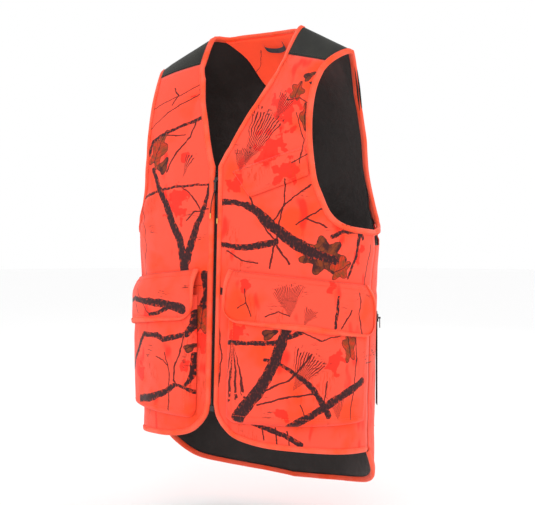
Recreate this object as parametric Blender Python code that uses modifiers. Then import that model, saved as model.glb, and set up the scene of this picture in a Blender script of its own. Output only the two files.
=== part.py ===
"""A sleeveless blaze orange field vest, held out in its worn shape.

Metres, +Z up. The vest faces -Y and the wearer's left side is +X. The origin is where the
wearer's shoulders carry it: midway between the shoulders, at the height of their middle.
Every cloth piece is a patch of one body surface, lifted off it by the layer that it lies in.
"""

import math

import bmesh
import bpy
from mathutils import Vector

# The body surface
NECK_X = 0.083  # half the distance between the two neck points
NECK_Z = 0.027  # height of the neck points
SHOULDER_FALL = 0.52  # drop of the shoulder line for each metre outwards
TIP_X = 0.187  # half the distance between the shoulder tips
SHOULDER_Y = -0.004  # the shoulder line lies a little in front of the middle
TIP_FORWARD = 0.0135  # and runs this much further forward by the tips
CREST_ROUND = 0.012  # rounding over the shoulder line
CREST_SLOPE = 0.60
CHEST_Z = -0.206  # below this height the front hangs straight
ABOVE_CHEST = 0.24  # measure of the cloth from there to the shoulder line
CHEST_HALF_WIDTH = 0.2165
FRONT_DEPTH = 0.1216
FRONT_FLARE = 0.036  # how much further out the front hangs for each metre down
FRONT_POWER = 2.5  # 2 is an ellipse, and more is squarer
BACK_POWER = (1.8, 2.3)  # above the chest, and from BACK_POWER_Z down
BACK_POWER_Z = -0.5
SIDE_RADIUS = 0.19  # turns an angle round the body into metres of cloth
# height, half width and back depth of the lower body
STATIONS = (
    (-0.206, 0.2165, 0.1250),
    (-0.306, 0.2160, 0.1245),
    (-0.420, 0.2080, 0.1210),
    (-0.520, 0.2030, 0.1210),
    (-0.650, 0.2000, 0.1230),
    (-0.760, 0.1965, 0.1250),
)

# Outlines of the finished edges, as (x, z) points on the wearer's left half
V_EDGE = ((0.004, -0.206), (0.0185, -0.1725), (0.034, -0.134), (0.0576, -0.083), (0.0755, -0.037))
ARMHOLE = (
    (0.2165, -0.306),
    (0.2015, -0.300),
    (0.183, -0.284),
    (0.170, -0.252),
    (0.161, -0.221),
    (0.156, -0.168),
    (0.1555, -0.110),
    (0.159, -0.070),
    (0.168, -0.045),
)
FRONT_HEM = ((0.018, -0.606), (0.035, -0.620), (0.060, -0.629), (0.100, -0.635), (0.150, -0.639))
BACK_ARMHOLE = (
    (0.2165, -0.306),
    (0.210, -0.299),
    (0.195, -0.280),
    (0.181, -0.239),
    (0.171, -0.191),
    (0.166, -0.124),
    (0.168, -0.080),
)
BACK_NECK = ((0.0, 0.034), (0.025, 0.033), (0.050, 0.031), (0.070, 0.0285))
# height and degrees round from the centre back, up from the middle of the tail
TAIL = ((-0.735, 20), (-0.728, 40), (-0.718, 57), (-0.704, 68), (-0.680, 80))
SIDE_HEM_Z = -0.650
UNDERARM_Z = -0.306
BACK_HEM_Z = -0.740
FRONT_YOKE = ((0.077, -0.026), (0.163, -0.048))
BACK_YOKE_Z = -0.075
FACING_FOOT = ((0.0, -0.069), (0.030, -0.063), (0.052, -0.036), (0.062, 0.002))
LABEL_SIZE = (0.0175, -0.0485, -0.0375)  # half width, foot and head heights

# Layers, as lifts off the body surface
SHELL = (-0.0012, 0.0)
LINING = (-0.0046, -0.0036)
CHEST_BAG = (-0.0078, -0.0068)
FACING = (-0.0082, -0.0072)
LABEL = (-0.0100, -0.0092)
BINDING_RADIUS = 0.0024
BINDING_INSET = 0.0026  # centre of the binding from the finished edge
BINDING_LIFT = -0.0014
PANEL_INSET = 0.0085  # cut edge of the cloth from the finished edge
SEAM_HALF_GAP = 0.0005
RIDGE_HALF_GAP = 0.0020  # along the shoulder line
ARM_SPACING = 1.3  # sets the rows of a panel closer under the arm
YOKE_EXTRA_INSET = 0.003  # of the back yoke from the armholes
SHEET_THICKNESS = 0.001  # of lining, facing and pocket bags
POCKET_THICKNESS = 0.0011
LABEL_THICKNESS = 0.0008
STRIP_THICKNESS = (0.0010, 0.0008)  # hook side and loop side
WELT_LIFT = 0.0030

# Number of cells across and up each half panel, then below and above the yoke seam
COLUMNS = 10
FRONT_ROWS = (20, 3)
BACK_ROWS = (14, 6)
POCKET_CELLS = (12, 7)
GAME_CELLS = (20, 7)

# Main zip, in the frame of its own straight line: x across, y outwards is negative, z up the line
ZIP_TOP_Z = -0.212
ZIP_LENGTH = 0.366
COIL_X = (0.0009, 0.0030)
COIL_LIFT = (-0.0042, -0.0024)
TAPE_X = (0.0013, 0.0190)
TAPE_LIFT = (-0.0062, -0.0056)
SLIDER_SIZE = (0.0072, 0.0125)  # width and length
SLIDER_OUTER = (-0.0019, -0.0007)
SLIDER_INNER = (-0.0078, -0.0068)
SLIDER_WEB = 0.0010

# Pockets, flaps and the game bag
POCKET_X = 0.029
POCKET_END = 84  # degrees round the body from the centre front
POCKET_Z = (-0.600, -0.407)  # foot, and rim at the inner end
RIM_SLOPE = 0.034  # how far the rim falls towards the side
POCKET_LIFT = 0.0024  # where its walls meet the panel
POCKET_DEPTH = 0.0130
FLAP_X = 0.027
FLAP_END = 86
FLAP_TOP_Z = -0.367  # of its seam, at the inner end
FLAP_DROP = 0.078
FLAP_LIFT = (0.0030, 0.0180)  # at the seam, and from FLAP_RISE down
FLAP_RISE = 0.034
FLAP_CORNER = 0.026
FLAP_THICKNESS = 0.0016
FLAP_INSET = 0.0036
FLAP_AXIS_X = 0.150  # where its hinge axis touches the body
FLAP_BINDING_TOP = 0.94  # share of the flap's height at which the binding of its ends starts
STRIP_SPAN = (0.30, 0.52)  # hook and loop strip, as shares of the flap's length and height
STRIP_HEIGHT = (0.16, 0.40)
STRIP_GAP = 0.0004
LOOP_STRIP_LIFT = 0.0014  # above the pocket's face
POCKET_CORNER = 0.016
WALL = 0.03  # share of a pocket's face that its side walls take up
FOOT_WALL = 0.04  # and the same for the foot of the game bag
FLAP_SLOPE = 0.024  # how far the flap's seam falls towards the side
CHEST_FLAP_TOP = ((0.030, -0.2155), (0.1470, -0.1810))
CHEST_FLAP_FOOT = ((0.063, -0.2560), (0.1520, -0.2240))
GAME_END = 57
GAME_Z = (-0.640, -0.420)
GAME_DEPTH = 0.014
SIDE_ZIP = (70, -0.585, -0.435)  # degrees from the centre back, foot and head heights
SIDE_ZIP_WIDTH = 0.024

# Zip of the game bag, hanging loop and cord
SIDE_TAPE_LIFT = (0.0020, 0.0024)
SIDE_COIL_LIFT = (0.0026, 0.0036)
SIDE_SLIDER_OUTER = (0.0040, 0.0048)
SIDE_SLIDER_INNER = (0.0010, 0.0016)
SIDE_PULL_LENGTH = 0.016
PIN_RISE = 0.0024  # pin of a pull above the slider's plate
PIN_LENGTH = 0.014  # insertion pin at the zip's foot
SLIDER_DOWN = 0.0175  # middle of the slider below the zip's top, when closed
PULL_LENGTH = 0.019
PULL_WIDTH = 0.0036
PULL_HUB = 0.0013  # half the thickness of its upper end, round the pin
CORD_RADIUS = 0.0007
CORD_DROP = 0.050
TIP_LENGTH = 0.008
TIP_RADIUS = 0.0012
LOOP_WIDTH = 0.045
LOOP_DROP = 0.009
LOOP_RADIUS = 0.0015
LOOP_LIFT = -0.0125
LOOP_BELOW_NECK = 0.0085
FACING_END = 0.84  # share of the neck's edge that the facing follows
CHEST_BAG_CORNERS = ((0.070, -0.370), (0.152, -0.350), (0.058, -0.262), (0.142, -0.238))

# name: (red, green, blue, roughness, metallic)
FINISHES = {
    "camo_orange": (0.95, 0.12, 0.05, 0.75, 0.0),
    "binding_orange": (0.98, 0.14, 0.06, 0.65, 0.0),
    "black_cloth": (0.015, 0.016, 0.015, 0.8, 0.0),
    "black_lining": (0.022, 0.018, 0.017, 0.55, 0.0),
    "black_tape": (0.012, 0.012, 0.012, 0.85, 0.0),
    "black_coil": (0.02, 0.02, 0.02, 0.4, 0.0),
    "black_metal": (0.05, 0.05, 0.05, 0.35, 1.0),
    "brass": (0.75, 0.5, 0.15, 0.3, 1.0),
    "grey_webbing": (0.10, 0.10, 0.11, 0.8, 0.0),
    "white_label": (0.85, 0.82, 0.80, 0.6, 0.0),
}


def clear_scene():
    for obj in list(bpy.data.objects):
        bpy.data.objects.remove(obj)


def finish(name):
    """The material of that name, made the first time it is asked for."""
    material = bpy.data.materials.get(name)
    if material is None:
        red, green, blue, roughness, metallic = FINISHES[name]
        material = bpy.data.materials.new(name)
        material.use_nodes = True
        shader = material.node_tree.nodes["Principled BSDF"]
        shader.inputs["Base Color"].default_value = (red, green, blue, 1.0)
        shader.inputs["Roughness"].default_value = roughness
        shader.inputs["Metallic"].default_value = metallic
    return material


def between(low, high, share):
    return low + (high - low) * share


def station(z, column):
    """A dimension of the lower body at a height, read between the stations by a smooth curve."""
    rows = STATIONS
    if z >= rows[0][0]:
        return rows[0][column]
    if z <= rows[-1][0]:
        return rows[-1][column]
    i = next(k for k in range(len(rows) - 1) if z >= rows[k + 1][0])
    share = (rows[i][0] - z) / (rows[i][0] - rows[i + 1][0])
    before = rows[max(i - 1, 0)][column]
    after = rows[min(i + 2, len(rows) - 1)][column]
    return catmull(before, rows[i][column], rows[i + 1][column], after, share)


def catmull(a, b, c, d, t):
    """Catmull-Rom interpolation between b and c."""
    return 0.5 * (2 * b + (c - a) * t + (2 * a - 5 * b + 4 * c - d) * t**2 + (3 * b - a - 3 * c + d) * t**3)


def shoulder_z(x):
    """Height of the shoulder line, rounded over between the neck points."""
    x = abs(x)
    if x > NECK_X:
        return NECK_Z + 0.006 - SHOULDER_FALL * (x - NECK_X)
    return NECK_Z + 0.006 + SHOULDER_FALL * NECK_X / 2 * (1 - (x / NECK_X) ** 2)


def surface_point(side, angle, h):
    """A point on the body surface. side is -1 on the front and 1 on the back, angle runs from 0 at
    the centre to a right angle at the side seam, and h is the measure up the cloth from the chest."""
    across = math.sin(angle)
    low = min(1.0, max(0.0, -h / (CHEST_Z - BACK_POWER_Z)))
    power = FRONT_POWER if side < 0 else between(*BACK_POWER, low)
    flat = max(0.0, 1 - abs(across) ** power) ** (1 / power)
    if h <= 0:
        z = CHEST_Z + h
        x = station(z, 1) * across
        depth = FRONT_DEPTH - FRONT_FLARE * h if side < 0 else station(z, 2)
        return Vector((x, side * depth * flat, z))
    x = CHEST_HALF_WIDTH * across
    share = h / ABOVE_CHEST
    out = min(1.0, max(0.0, (abs(x) - 0.07) / 0.09))
    bend = between(1.25, 3.2, out) if side < 0 else between(6.0, 2.5, min(1.0, abs(x) / 0.15))
    depth = (FRONT_DEPTH if side < 0 else STATIONS[0][2]) * flat * (1 - share**bend)
    y_line = SHOULDER_Y - TIP_FORWARD * max(0.0, abs(x) - NECK_X) / (TIP_X - NECK_X)
    z = between(CHEST_Z, shoulder_z(x), share)
    z -= CREST_SLOPE * (math.hypot(depth, CREST_ROUND) - depth) * share**4
    return Vector((x, y_line * share**2 + side * depth, z))


def outward(side, angle, h):
    """Unit normal of the body surface, pointing away from the wearer."""
    step = 0.002
    angle = min(angle, math.pi / 2 - 2 * step) if angle > 0 else max(angle, 2 * step - math.pi / 2)
    along = surface_point(side, angle + step, h) - surface_point(side, angle - step, h)
    top = min(h + step, ABOVE_CHEST)
    up = surface_point(side, angle, top) - surface_point(side, angle, top - 2 * step)
    normal = along.cross(up) * -side
    return normal.normalized()


def lifted(side, p, h, lift, mirror=1):
    """A point of the cloth: p metres round from the centre and h up it, raised by lift."""
    if h > ABOVE_CHEST:  # over the shoulder line and down the other side
        side, h = -side, 2 * ABOVE_CHEST - h
    angle = p / SIDE_RADIUS
    point = surface_point(side, angle, h)
    normal = outward(side, angle, h)
    if ABOVE_CHEST - h < 0.012:
        other = outward(-side, angle, h)
        lean = 0.5 * (1 - (ABOVE_CHEST - h) / 0.012)
        normal = (normal * (1 - lean) + other * lean).normalized()
    point += normal * lift
    point.x *= mirror
    return point


def cloth(x, z):
    """(p, h) of the surface point at that x and z, where p is metres of cloth round the body."""
    width = station(z, 1)
    p = SIDE_RADIUS * math.asin(min(1.0, x / width))
    if z <= CHEST_Z:
        return p, z - CHEST_Z
    return p, ABOVE_CHEST * min(1.0, (z - CHEST_Z) / (shoulder_z(x) - CHEST_Z))


def at_degrees(degrees, z):
    return SIDE_RADIUS * math.radians(degrees), z - CHEST_Z


def sideways(side, point, run, distance):
    """The step in cloth measure that is square to the run at that point, and distance metres long."""
    p, h = point
    angle = p / SIDE_RADIUS
    step = 0.003
    h = min(max(h, 0.001 - abs(SIDE_HEM_Z) * 2), ABOVE_CHEST - 2 * step)
    turn = min(angle, math.pi / 2 - 4 * step)
    along = surface_point(side, turn + step, h) - surface_point(side, turn - step, h)
    along /= 2 * step * SIDE_RADIUS
    up = (surface_point(side, turn, h + step) - surface_point(side, turn, h - step)) / (2 * step)
    dp, dh = run
    square = (-(along.dot(up) * dp + up.dot(up) * dh), along.dot(along) * dp + along.dot(up) * dh)
    length = (along * square[0] + up * square[1]).length
    return square[0] * distance / length, square[1] * distance / length


class Path:
    """A smooth line through points of the cloth, followed by its share of length from 0 to 1."""

    def __init__(self, points, smooth=True, side=-1):
        self.line = []
        self.side = side
        last = len(points) - 1
        for i in range(last):
            near = [points[max(i - 1, 0)], points[i], points[i + 1], points[min(i + 2, last)]]
            for k in range(12):
                t = k / 12
                if smooth:
                    self.line.append([catmull(*(q[axis] for q in near), t) for axis in (0, 1)])
                else:
                    self.line.append([between(points[i][axis], points[i + 1][axis], t) for axis in (0, 1)])
        self.line.append(list(points[-1]))
        self.lengths = [0.0]
        for a, b in zip(self.line, self.line[1:]):
            self.lengths.append(self.lengths[-1] + math.dist(a, b))

    def at(self, share, inset=0.0):
        """The point at that share of the length, moved inset metres to the left of the way it runs."""
        goal = min(max(share, 0.0), 1.0) * self.lengths[-1]
        i = next((k for k in range(len(self.line) - 2) if self.lengths[k + 1] >= goal), len(self.line) - 2)
        a, b = self.line[i], self.line[i + 1]
        run = max(self.lengths[i + 1] - self.lengths[i], 1e-9)
        t = (goal - self.lengths[i]) / run
        point = between(a[0], b[0], t), between(a[1], b[1], t)
        if inset == 0:
            return point
        step = sideways(self.side, point, (b[0] - a[0], b[1] - a[1]), inset)
        return point[0] + step[0], point[1] + step[1]


def coons(foot, head, inner, outer):
    """Fills the cloth between four edges. u runs from inner to outer and v from foot to head."""

    def at(u, v):
        corners = [inner(0), outer(0), inner(1), outer(1)]
        point = []
        for axis in (0, 1):
            ruled = (1 - v) * foot(u)[axis] + v * head(u)[axis]
            ruled += (1 - u) * inner(v)[axis] + u * outer(v)[axis]
            a, b, c, d = (corner[axis] for corner in corners)
            point.append(ruled - ((1 - u) * (1 - v) * a + u * (1 - v) * b + (1 - u) * v * c + u * v * d))
        return point

    return at


def link(obj, collection, material):
    collection.objects.link(obj)
    obj.data.materials.append(finish(material))
    return obj


def sheet(name, material, columns, rows, place, thickness):
    """A grid bent to the outer face that place(u, v) gives, with thickness added on its inner side."""
    bm = bmesh.new()
    bmesh.ops.create_grid(bm, x_segments=columns, y_segments=rows, size=0.5)
    for vertex in bm.verts:
        vertex.co = place(vertex.co.x + 0.5, vertex.co.y + 0.5)
    bmesh.ops.triangulate(bm, faces=bm.faces, quad_method="FIXED")
    bm.normal_update()
    bm.faces.ensure_lookup_table()
    facing = sum(face.normal.dot(face.calc_center_median() * Vector((1, 1, 0))) for face in bm.faces)
    if facing < 0:
        bmesh.ops.reverse_faces(bm, faces=bm.faces)
    mesh = bpy.data.meshes.new(name)
    bm.to_mesh(mesh)
    bm.free()
    mesh.shade_smooth()
    obj = link(bpy.data.objects.new(name, mesh), PARTS, material)
    solidify = obj.modifiers.new("thickness", "SOLIDIFY")
    solidify.thickness = thickness
    solidify.offset = -1
    return obj


def tube(name, material, points, radius, cyclic=False):
    curve = bpy.data.curves.new(name, "CURVE")
    curve.dimensions = "3D"
    curve.bevel_depth = radius
    curve.bevel_resolution = 2
    curve.use_fill_caps = not cyclic
    spline = curve.splines.new("POLY")
    spline.points.add(len(points) - 1)
    for target, point in zip(spline.points, points):
        target.co = (*point, 1.0)
    spline.use_cyclic_u = cyclic
    return link(bpy.data.objects.new(name, curve), PARTS, material)


def block(name, collection, material, low, high, parent=None):
    """A box between two corners given in its parent's frame, with its origin at its middle."""
    bm = bmesh.new()
    bmesh.ops.create_cube(bm, size=1.0)
    for vertex in bm.verts:
        vertex.co = [c * (b - a) for c, a, b in zip(vertex.co, low, high)]
    mesh = bpy.data.meshes.new(name)
    bm.to_mesh(mesh)
    bm.free()
    obj = link(bpy.data.objects.new(name, mesh), collection, material)
    obj.location = (Vector(low) + Vector(high)) / 2
    obj.parent = parent
    return obj


def rod(name, collection, material, middle, radius, length, turn, parent=None):
    """A round bar, along Z before its turn."""
    bm = bmesh.new()
    bmesh.ops.create_cone(bm, cap_ends=True, segments=12, radius1=radius, radius2=radius, depth=length)
    mesh = bpy.data.meshes.new(name)
    bm.to_mesh(mesh)
    bm.free()
    obj = link(bpy.data.objects.new(name, mesh), collection, material)
    obj.location = middle
    obj.rotation_euler = turn
    obj.parent = parent
    return obj


def combine(obj, other, operation):
    """Adds other to obj, or cuts it away, and keeps other as a guide."""
    boolean = obj.modifiers.new(other.name, "BOOLEAN")
    boolean.operation = operation
    boolean.object = other
    other.hide_render = True
    other.display_type = "WIRE"
    return obj


def empty(name, location, rotation=(0, 0, 0), parent=None):
    obj = bpy.data.objects.new(name, None)
    obj.location = location
    obj.rotation_euler = rotation
    obj.parent = parent
    PARTS.objects.link(obj)
    return obj


# Finished edges in cloth measure
NECK_POINT = cloth(NECK_X, shoulder_z(NECK_X))
TIP_POINT = cloth(TIP_X, shoulder_z(TIP_X))
V_PATH = Path([cloth(x, z) for x, z in V_EDGE] + [cloth(*FRONT_YOKE[0])])
NECK_TOP = Path([cloth(*FRONT_YOKE[0]), NECK_POINT])
CENTRE_UP = Path([cloth(0.004, -0.300), cloth(0.004, CHEST_Z)], smooth=False)
CENTRE_LOW = Path([cloth(0.004, -0.574), cloth(0.004, -0.300)], smooth=False)
CORNER = Path([cloth(*FRONT_HEM[0]), cloth(0.0085, -0.592), cloth(0.004, -0.574)])
HEM = Path([cloth(x, z) for x, z in FRONT_HEM] + [at_degrees(90, SIDE_HEM_Z)])
SIDE = Path([at_degrees(90, SIDE_HEM_Z), at_degrees(90, UNDERARM_Z)], smooth=False)
ARM_FRONT = Path([cloth(x, z) for x, z in ARMHOLE] + [TIP_POINT])
ARM_BACK = Path([cloth(x, z) for x, z in BACK_ARMHOLE] + [TIP_POINT], side=1)
SHOULDER = Path([NECK_POINT, TIP_POINT], smooth=False)
NECK_BACK = Path([cloth(x, z) for x, z in BACK_NECK] + [NECK_POINT], side=1)
FRONT_SEAM = Path([cloth(*FRONT_YOKE[0]), cloth(*FRONT_YOKE[1])], smooth=False)
TAIL_EDGE = Path([at_degrees(0, BACK_HEM_Z)] + [at_degrees(d, z) for z, d in TAIL]
                 + [at_degrees(90, SIDE_HEM_Z)], side=1)


def share_at(path, h):
    """Where a rising path reaches the cloth measure h, as a share of its length."""
    return next(k / 400 for k in range(401) if path.at(k / 400)[1] >= h)


FRONT_SPLIT = share_at(ARM_FRONT, FRONT_SEAM.at(1)[1])
BACK_SPLIT = share_at(ARM_BACK, cloth(0.16, BACK_YOKE_Z)[1])


def line_between(a, b):
    return lambda t: (between(a[0], b[0], t), between(a[1], b[1], t))


def side_edge(inset, seam):
    def at(v):
        p, h = SIDE.at(v)
        return p - seam, h + inset * (1 - 2 * v)

    return at


def front_panel(inset, seam):
    """The lower front, from the hem to the yoke seam, as a map of u across and v up."""
    def inner(v):
        for path, start, end in ((CORNER, 0, 0.1), (CENTRE_LOW, 0.1, 0.5), (CENTRE_UP, 0.5, 0.65)):
            if v < end:
                return path.at((v - start) / (end - start), -inset)
        return V_PATH.at((v - 0.65) / 0.35, -inset)

    def outer(v):
        if v <= 0.5:
            return side_edge(inset, seam)(2 * v)
        return ARM_FRONT.at((2 * v - 1) ** ARM_SPACING * FRONT_SPLIT, inset)

    def foot(u):
        p, h = HEM.at(u, inset)
        return p - seam * u, h

    drop = lambda point: (point[0], point[1] - seam)
    return coons(foot, line_between(drop(inner(1)), drop(outer(1))), inner, outer)


def below_ridge(point):
    return point[0], min(point[1], ABOVE_CHEST - RIDGE_HALF_GAP)


def front_top(inset, seam):
    """The front above the yoke seam."""
    def outer(v):
        return below_ridge(ARM_FRONT.at(between(FRONT_SPLIT, 1, v), inset))

    def inner(v):
        return below_ridge(NECK_TOP.at(v, -inset))

    def raised(point, rise):
        return point[0], point[1] + rise

    foot = line_between(raised(inner(0), seam), raised(outer(0), seam))
    head = line_between(below_ridge((inner(1)[0], 1)), below_ridge((outer(1)[0], 1)))
    return coons(foot, head, inner, outer)


def back_panel(inset, seam):
    def outer(v):
        if v <= 0.5:
            return side_edge(inset, seam)(2 * v)
        return ARM_BACK.at((2 * v - 1) ** ARM_SPACING * BACK_SPLIT, inset)

    def foot(u):
        p, h = TAIL_EDGE.at(u, inset)
        return p - seam * u, h

    top = cloth(0.0, BACK_YOKE_Z)[1] - seam
    inner = line_between(foot(0), (0.0, top))
    return coons(foot, line_between(inner(1), (outer(1)[0], top)), inner, outer)


def back_top(inset, seam):
    def outer(v):
        return below_ridge(ARM_BACK.at(between(BACK_SPLIT, 1, v), inset))

    def head(u):
        if u <= 0.4:
            return below_ridge(NECK_BACK.at(u / 0.4, -inset))
        start, end = NECK_BACK.at(1, -inset), outer(1)
        return below_ridge((between(start[0], end[0], (u - 0.4) / 0.6), 1))

    foot_h = cloth(0.0, BACK_YOKE_Z)[1] + seam
    return coons(line_between((0.0, foot_h), (outer(0)[0], foot_h)), head,
                 line_between((0.0, foot_h), head(0)), outer)


def stacked(lower, upper, share):
    """One map made of a lower one up to that share of v and an upper one past it."""
    def at(u, v):
        if v <= share:
            return lower(u, v / share)
        return upper(u, (v - share) / (1 - share))

    return at


def on_half(side, shape, lift, mirror=1):
    return lambda u, v: lifted(side, *shape(u, v), lift, mirror)


def across(side, shape, lift):
    """Both halves in one sheet, from the wearer's right at u = 0 to the left at u = 1."""
    def place(u, v):
        half = 2 * u - 1
        return lifted(side, *shape(abs(half), v), lift, 1 if half > 0 else -1)

    return place


def points_along(side, path, inset, lift, spacing, mirror=1, ends=(0, 1)):
    count = max(2, round(path.lengths[-1] * abs(ends[1] - ends[0]) / spacing))
    shares = [between(*ends, k / count) for k in range(count + 1)]
    return [lifted(side, *path.at(share, inset), lift, mirror) for share in shares]


def chain(*runs):
    """Runs of points joined into one line, leaving out points that nearly repeat."""
    line = []
    for run in runs:
        for point in run:
            if not line or (point - line[-1]).length > 0.004:
                line.append(point)
    return line


clear_scene()
PARTS = bpy.data.collections.new("field_vest")
CUTTERS = bpy.data.collections.new("cutters")
bpy.context.scene.collection.children.link(PARTS)
bpy.context.scene.collection.children.link(CUTTERS)

# Shell and lining
shell = SHELL[1] - SHELL[0]
for word, mirror in (("left", 1), ("right", -1)):
    low, top = front_panel(PANEL_INSET, SEAM_HALF_GAP), front_top(PANEL_INSET, SEAM_HALF_GAP)
    sheet("front_panel_" + word, "camo_orange", COLUMNS, FRONT_ROWS[0], on_half(-1, low, 0.0, mirror), shell)
    sheet("front_yoke_" + word, "black_cloth", COLUMNS, FRONT_ROWS[1], on_half(-1, top, 0.0, mirror), shell)
    whole = stacked(low, top, FRONT_ROWS[0] / sum(FRONT_ROWS))
    lining = on_half(-1, whole, LINING[1], mirror)
    sheet("front_lining_" + word, "black_lining", COLUMNS, sum(FRONT_ROWS), lining, SHEET_THICKNESS)

low, top = back_panel(PANEL_INSET, SEAM_HALF_GAP), back_top(PANEL_INSET + YOKE_EXTRA_INSET, SEAM_HALF_GAP)
sheet("back_panel", "camo_orange", 2 * COLUMNS, BACK_ROWS[0], across(1, low, 0.0), shell)
sheet("back_yoke", "black_cloth", 2 * COLUMNS, BACK_ROWS[1], across(1, top, 0.0), shell)
whole = stacked(low, top, BACK_ROWS[0] / sum(BACK_ROWS))
lining = across(1, whole, LINING[1])
sheet("back_lining", "black_lining", 2 * COLUMNS, sum(BACK_ROWS), lining, SHEET_THICKNESS)


def facing_shape(u, v):
    foot = Path([cloth(x, z) for x, z in FACING_FOOT])
    head = NECK_BACK.at(u * FACING_END, -PANEL_INSET)
    low = foot.at(u)
    return below_ridge((between(low[0], head[0], v), between(low[1], head[1], v)))


def patch(corners):
    """The cloth between four (x, z) points: foot start and end, then head start and end."""
    a, b, c, d = (cloth(*corner) for corner in corners)
    return lambda u, v: tuple(between(between(a[k], b[k], u), between(c[k], d[k], u), v) for k in (0, 1))


sheet("neck_facing", "camo_orange", 16, 5, across(1, facing_shape, FACING[1]), SHEET_THICKNESS)
half_width, foot, head = LABEL_SIZE
label = patch(((0.0, foot), (half_width, foot), (0.0, head), (half_width, head)))
sheet("size_label", "white_label", 4, 1, across(1, label, LABEL[1]), LABEL_THICKNESS)

# Bindings
for word, mirror in (("left", 1), ("right", -1)):
    edge = dict(lift=BINDING_LIFT, spacing=0.020, mirror=mirror)
    bound = chain(
        points_along(-1, HEM, BINDING_INSET, ends=(0.985, 0), **edge),
        points_along(-1, CORNER, -BINDING_INSET, **edge),
        points_along(-1, CENTRE_LOW, -BINDING_INSET, **edge),
        points_along(-1, CENTRE_UP, -BINDING_INSET, **edge),
        points_along(-1, V_PATH, -BINDING_INSET, **edge),
        points_along(-1, NECK_TOP, -BINDING_INSET, ends=(0, 0.9), **edge),
    )
    tube("front_binding_" + word, "binding_orange", bound, BINDING_RADIUS)
    loop = chain(
        points_along(-1, ARM_FRONT, BINDING_INSET, ends=(0.03, 0.97), **edge),
        points_along(1, ARM_BACK, BINDING_INSET, ends=(0.97, 0.03), **edge),
    )
    tube("armhole_binding_" + word, "binding_orange", loop, BINDING_RADIUS, cyclic=True)

half = [points_along(1, NECK_BACK, -BINDING_INSET, BINDING_LIFT, 0.018, m, (0, 0.96)) for m in (1, -1)]
tube("back_neck_binding", "binding_orange", chain(reversed(half[1]), half[0]), BINDING_RADIUS)
half = [points_along(1, TAIL_EDGE, BINDING_INSET, BINDING_LIFT, 0.020, m, (0, 0.985)) for m in (1, -1)]
tube("back_hem_binding", "binding_orange", chain(reversed(half[1]), half[0]), BINDING_RADIUS)

# Pockets and flaps
def pocket_shape(u, v):
    """A pocket's face, with a rounded lower corner at its inner end."""
    foot, rim = POCKET_Z
    start, end = cloth(POCKET_X, -0.5)[0], at_degrees(POCKET_END, 0)[0]
    p = between(start, end, u)
    z = between(foot, rim - RIM_SLOPE * u, v)
    near = max(0.0, 1 - (p - start) / POCKET_CORNER)
    lift = POCKET_CORNER * (1 - math.sqrt(1 - min(1.0, near) ** 2)) * (1 - v) ** 3
    return p, z - CHEST_Z + lift


def tray(shape, columns, rows, low, high, mirror):
    """Lifts the middle of a patch to high and leaves its border at low, but open along its head."""
    def place(u, v):
        j = round(u * columns)
        k = round(v * rows)
        edges = {0: 0.0, 1: WALL, columns - 1: 1 - WALL, columns: 1.0}
        s = edges.get(j, between(WALL, 1 - WALL, (j - 1) / (columns - 2)))
        t = {0: 0.0, 1: WALL}.get(k, between(WALL, 1.0, (k - 1) / (rows - 1)))
        flat = k == 0 or j in (0, columns)
        return lifted(-1, *shape(s, t), low if flat else high, mirror)

    return place


for word, mirror in (("left", 1), ("right", -1)):
    face = tray(pocket_shape, *POCKET_CELLS, POCKET_LIFT, POCKET_DEPTH, mirror)
    sheet("pocket_" + word, "camo_orange", *POCKET_CELLS, face, POCKET_THICKNESS)


def flap_shape(u, v, inset):
    """A flap with rounded lower corners, drawn in by inset at its ends and foot."""
    start, end = cloth(FLAP_X, -0.5)[0] + inset, at_degrees(FLAP_END, 0)[0] - inset
    p = between(start, end, u)
    near = max(0.0, 1 - min(p - start, end - p) / FLAP_CORNER)
    lift = FLAP_CORNER * (1 - math.sqrt(1 - min(1.0, near) ** 2)) * (1 - v)
    z = FLAP_TOP_Z - FLAP_SLOPE * u - (FLAP_DROP - inset) * (1 - v)
    return p, z - CHEST_Z + lift


def flap_lift(h, u):
    """How far the flap stands off the body at cloth measure h."""
    down = FLAP_TOP_Z - FLAP_SLOPE * u - CHEST_Z - h
    share = min(1.0, max(0.0, down / FLAP_RISE))
    return between(*FLAP_LIFT, share * (2 - share))


def flap_point(u, v, inset, extra, mirror):
    p, h = flap_shape(u, v, inset)
    return lifted(-1, p, h, flap_lift(h, u) + extra, mirror)


def hinge_line(mirror):
    """A point on the flap's hinge axis and the axis's turn: it slopes as the flap's seam does."""
    angle = math.asin(FLAP_AXIS_X / station(FLAP_TOP_Z, 1))
    h = FLAP_TOP_Z - FLAP_SLOPE * 0.5 - CHEST_Z
    point = lifted(-1, SIDE_RADIUS * angle, h, FLAP_LIFT[0], mirror)
    normal = outward(-1, angle, h)
    turn = math.atan2(normal.x, -normal.y)
    ends = flap_point(0, 1, 0.0, 0.0, 1), flap_point(1, 1, 0.0, 0.0, 1)
    run = (ends[1] - ends[0]).dot(Vector((math.cos(turn), math.sin(turn), 0)))
    return point, (0, math.atan(FLAP_SLOPE / run) * mirror, turn * mirror)


def attach(obj, parent):
    """Gives obj a parent without moving it, once its shape is already in world place."""
    bpy.context.view_layer.update()
    obj.parent = parent
    obj.matrix_parent_inverse = parent.matrix_world.inverted()
    return obj


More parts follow.
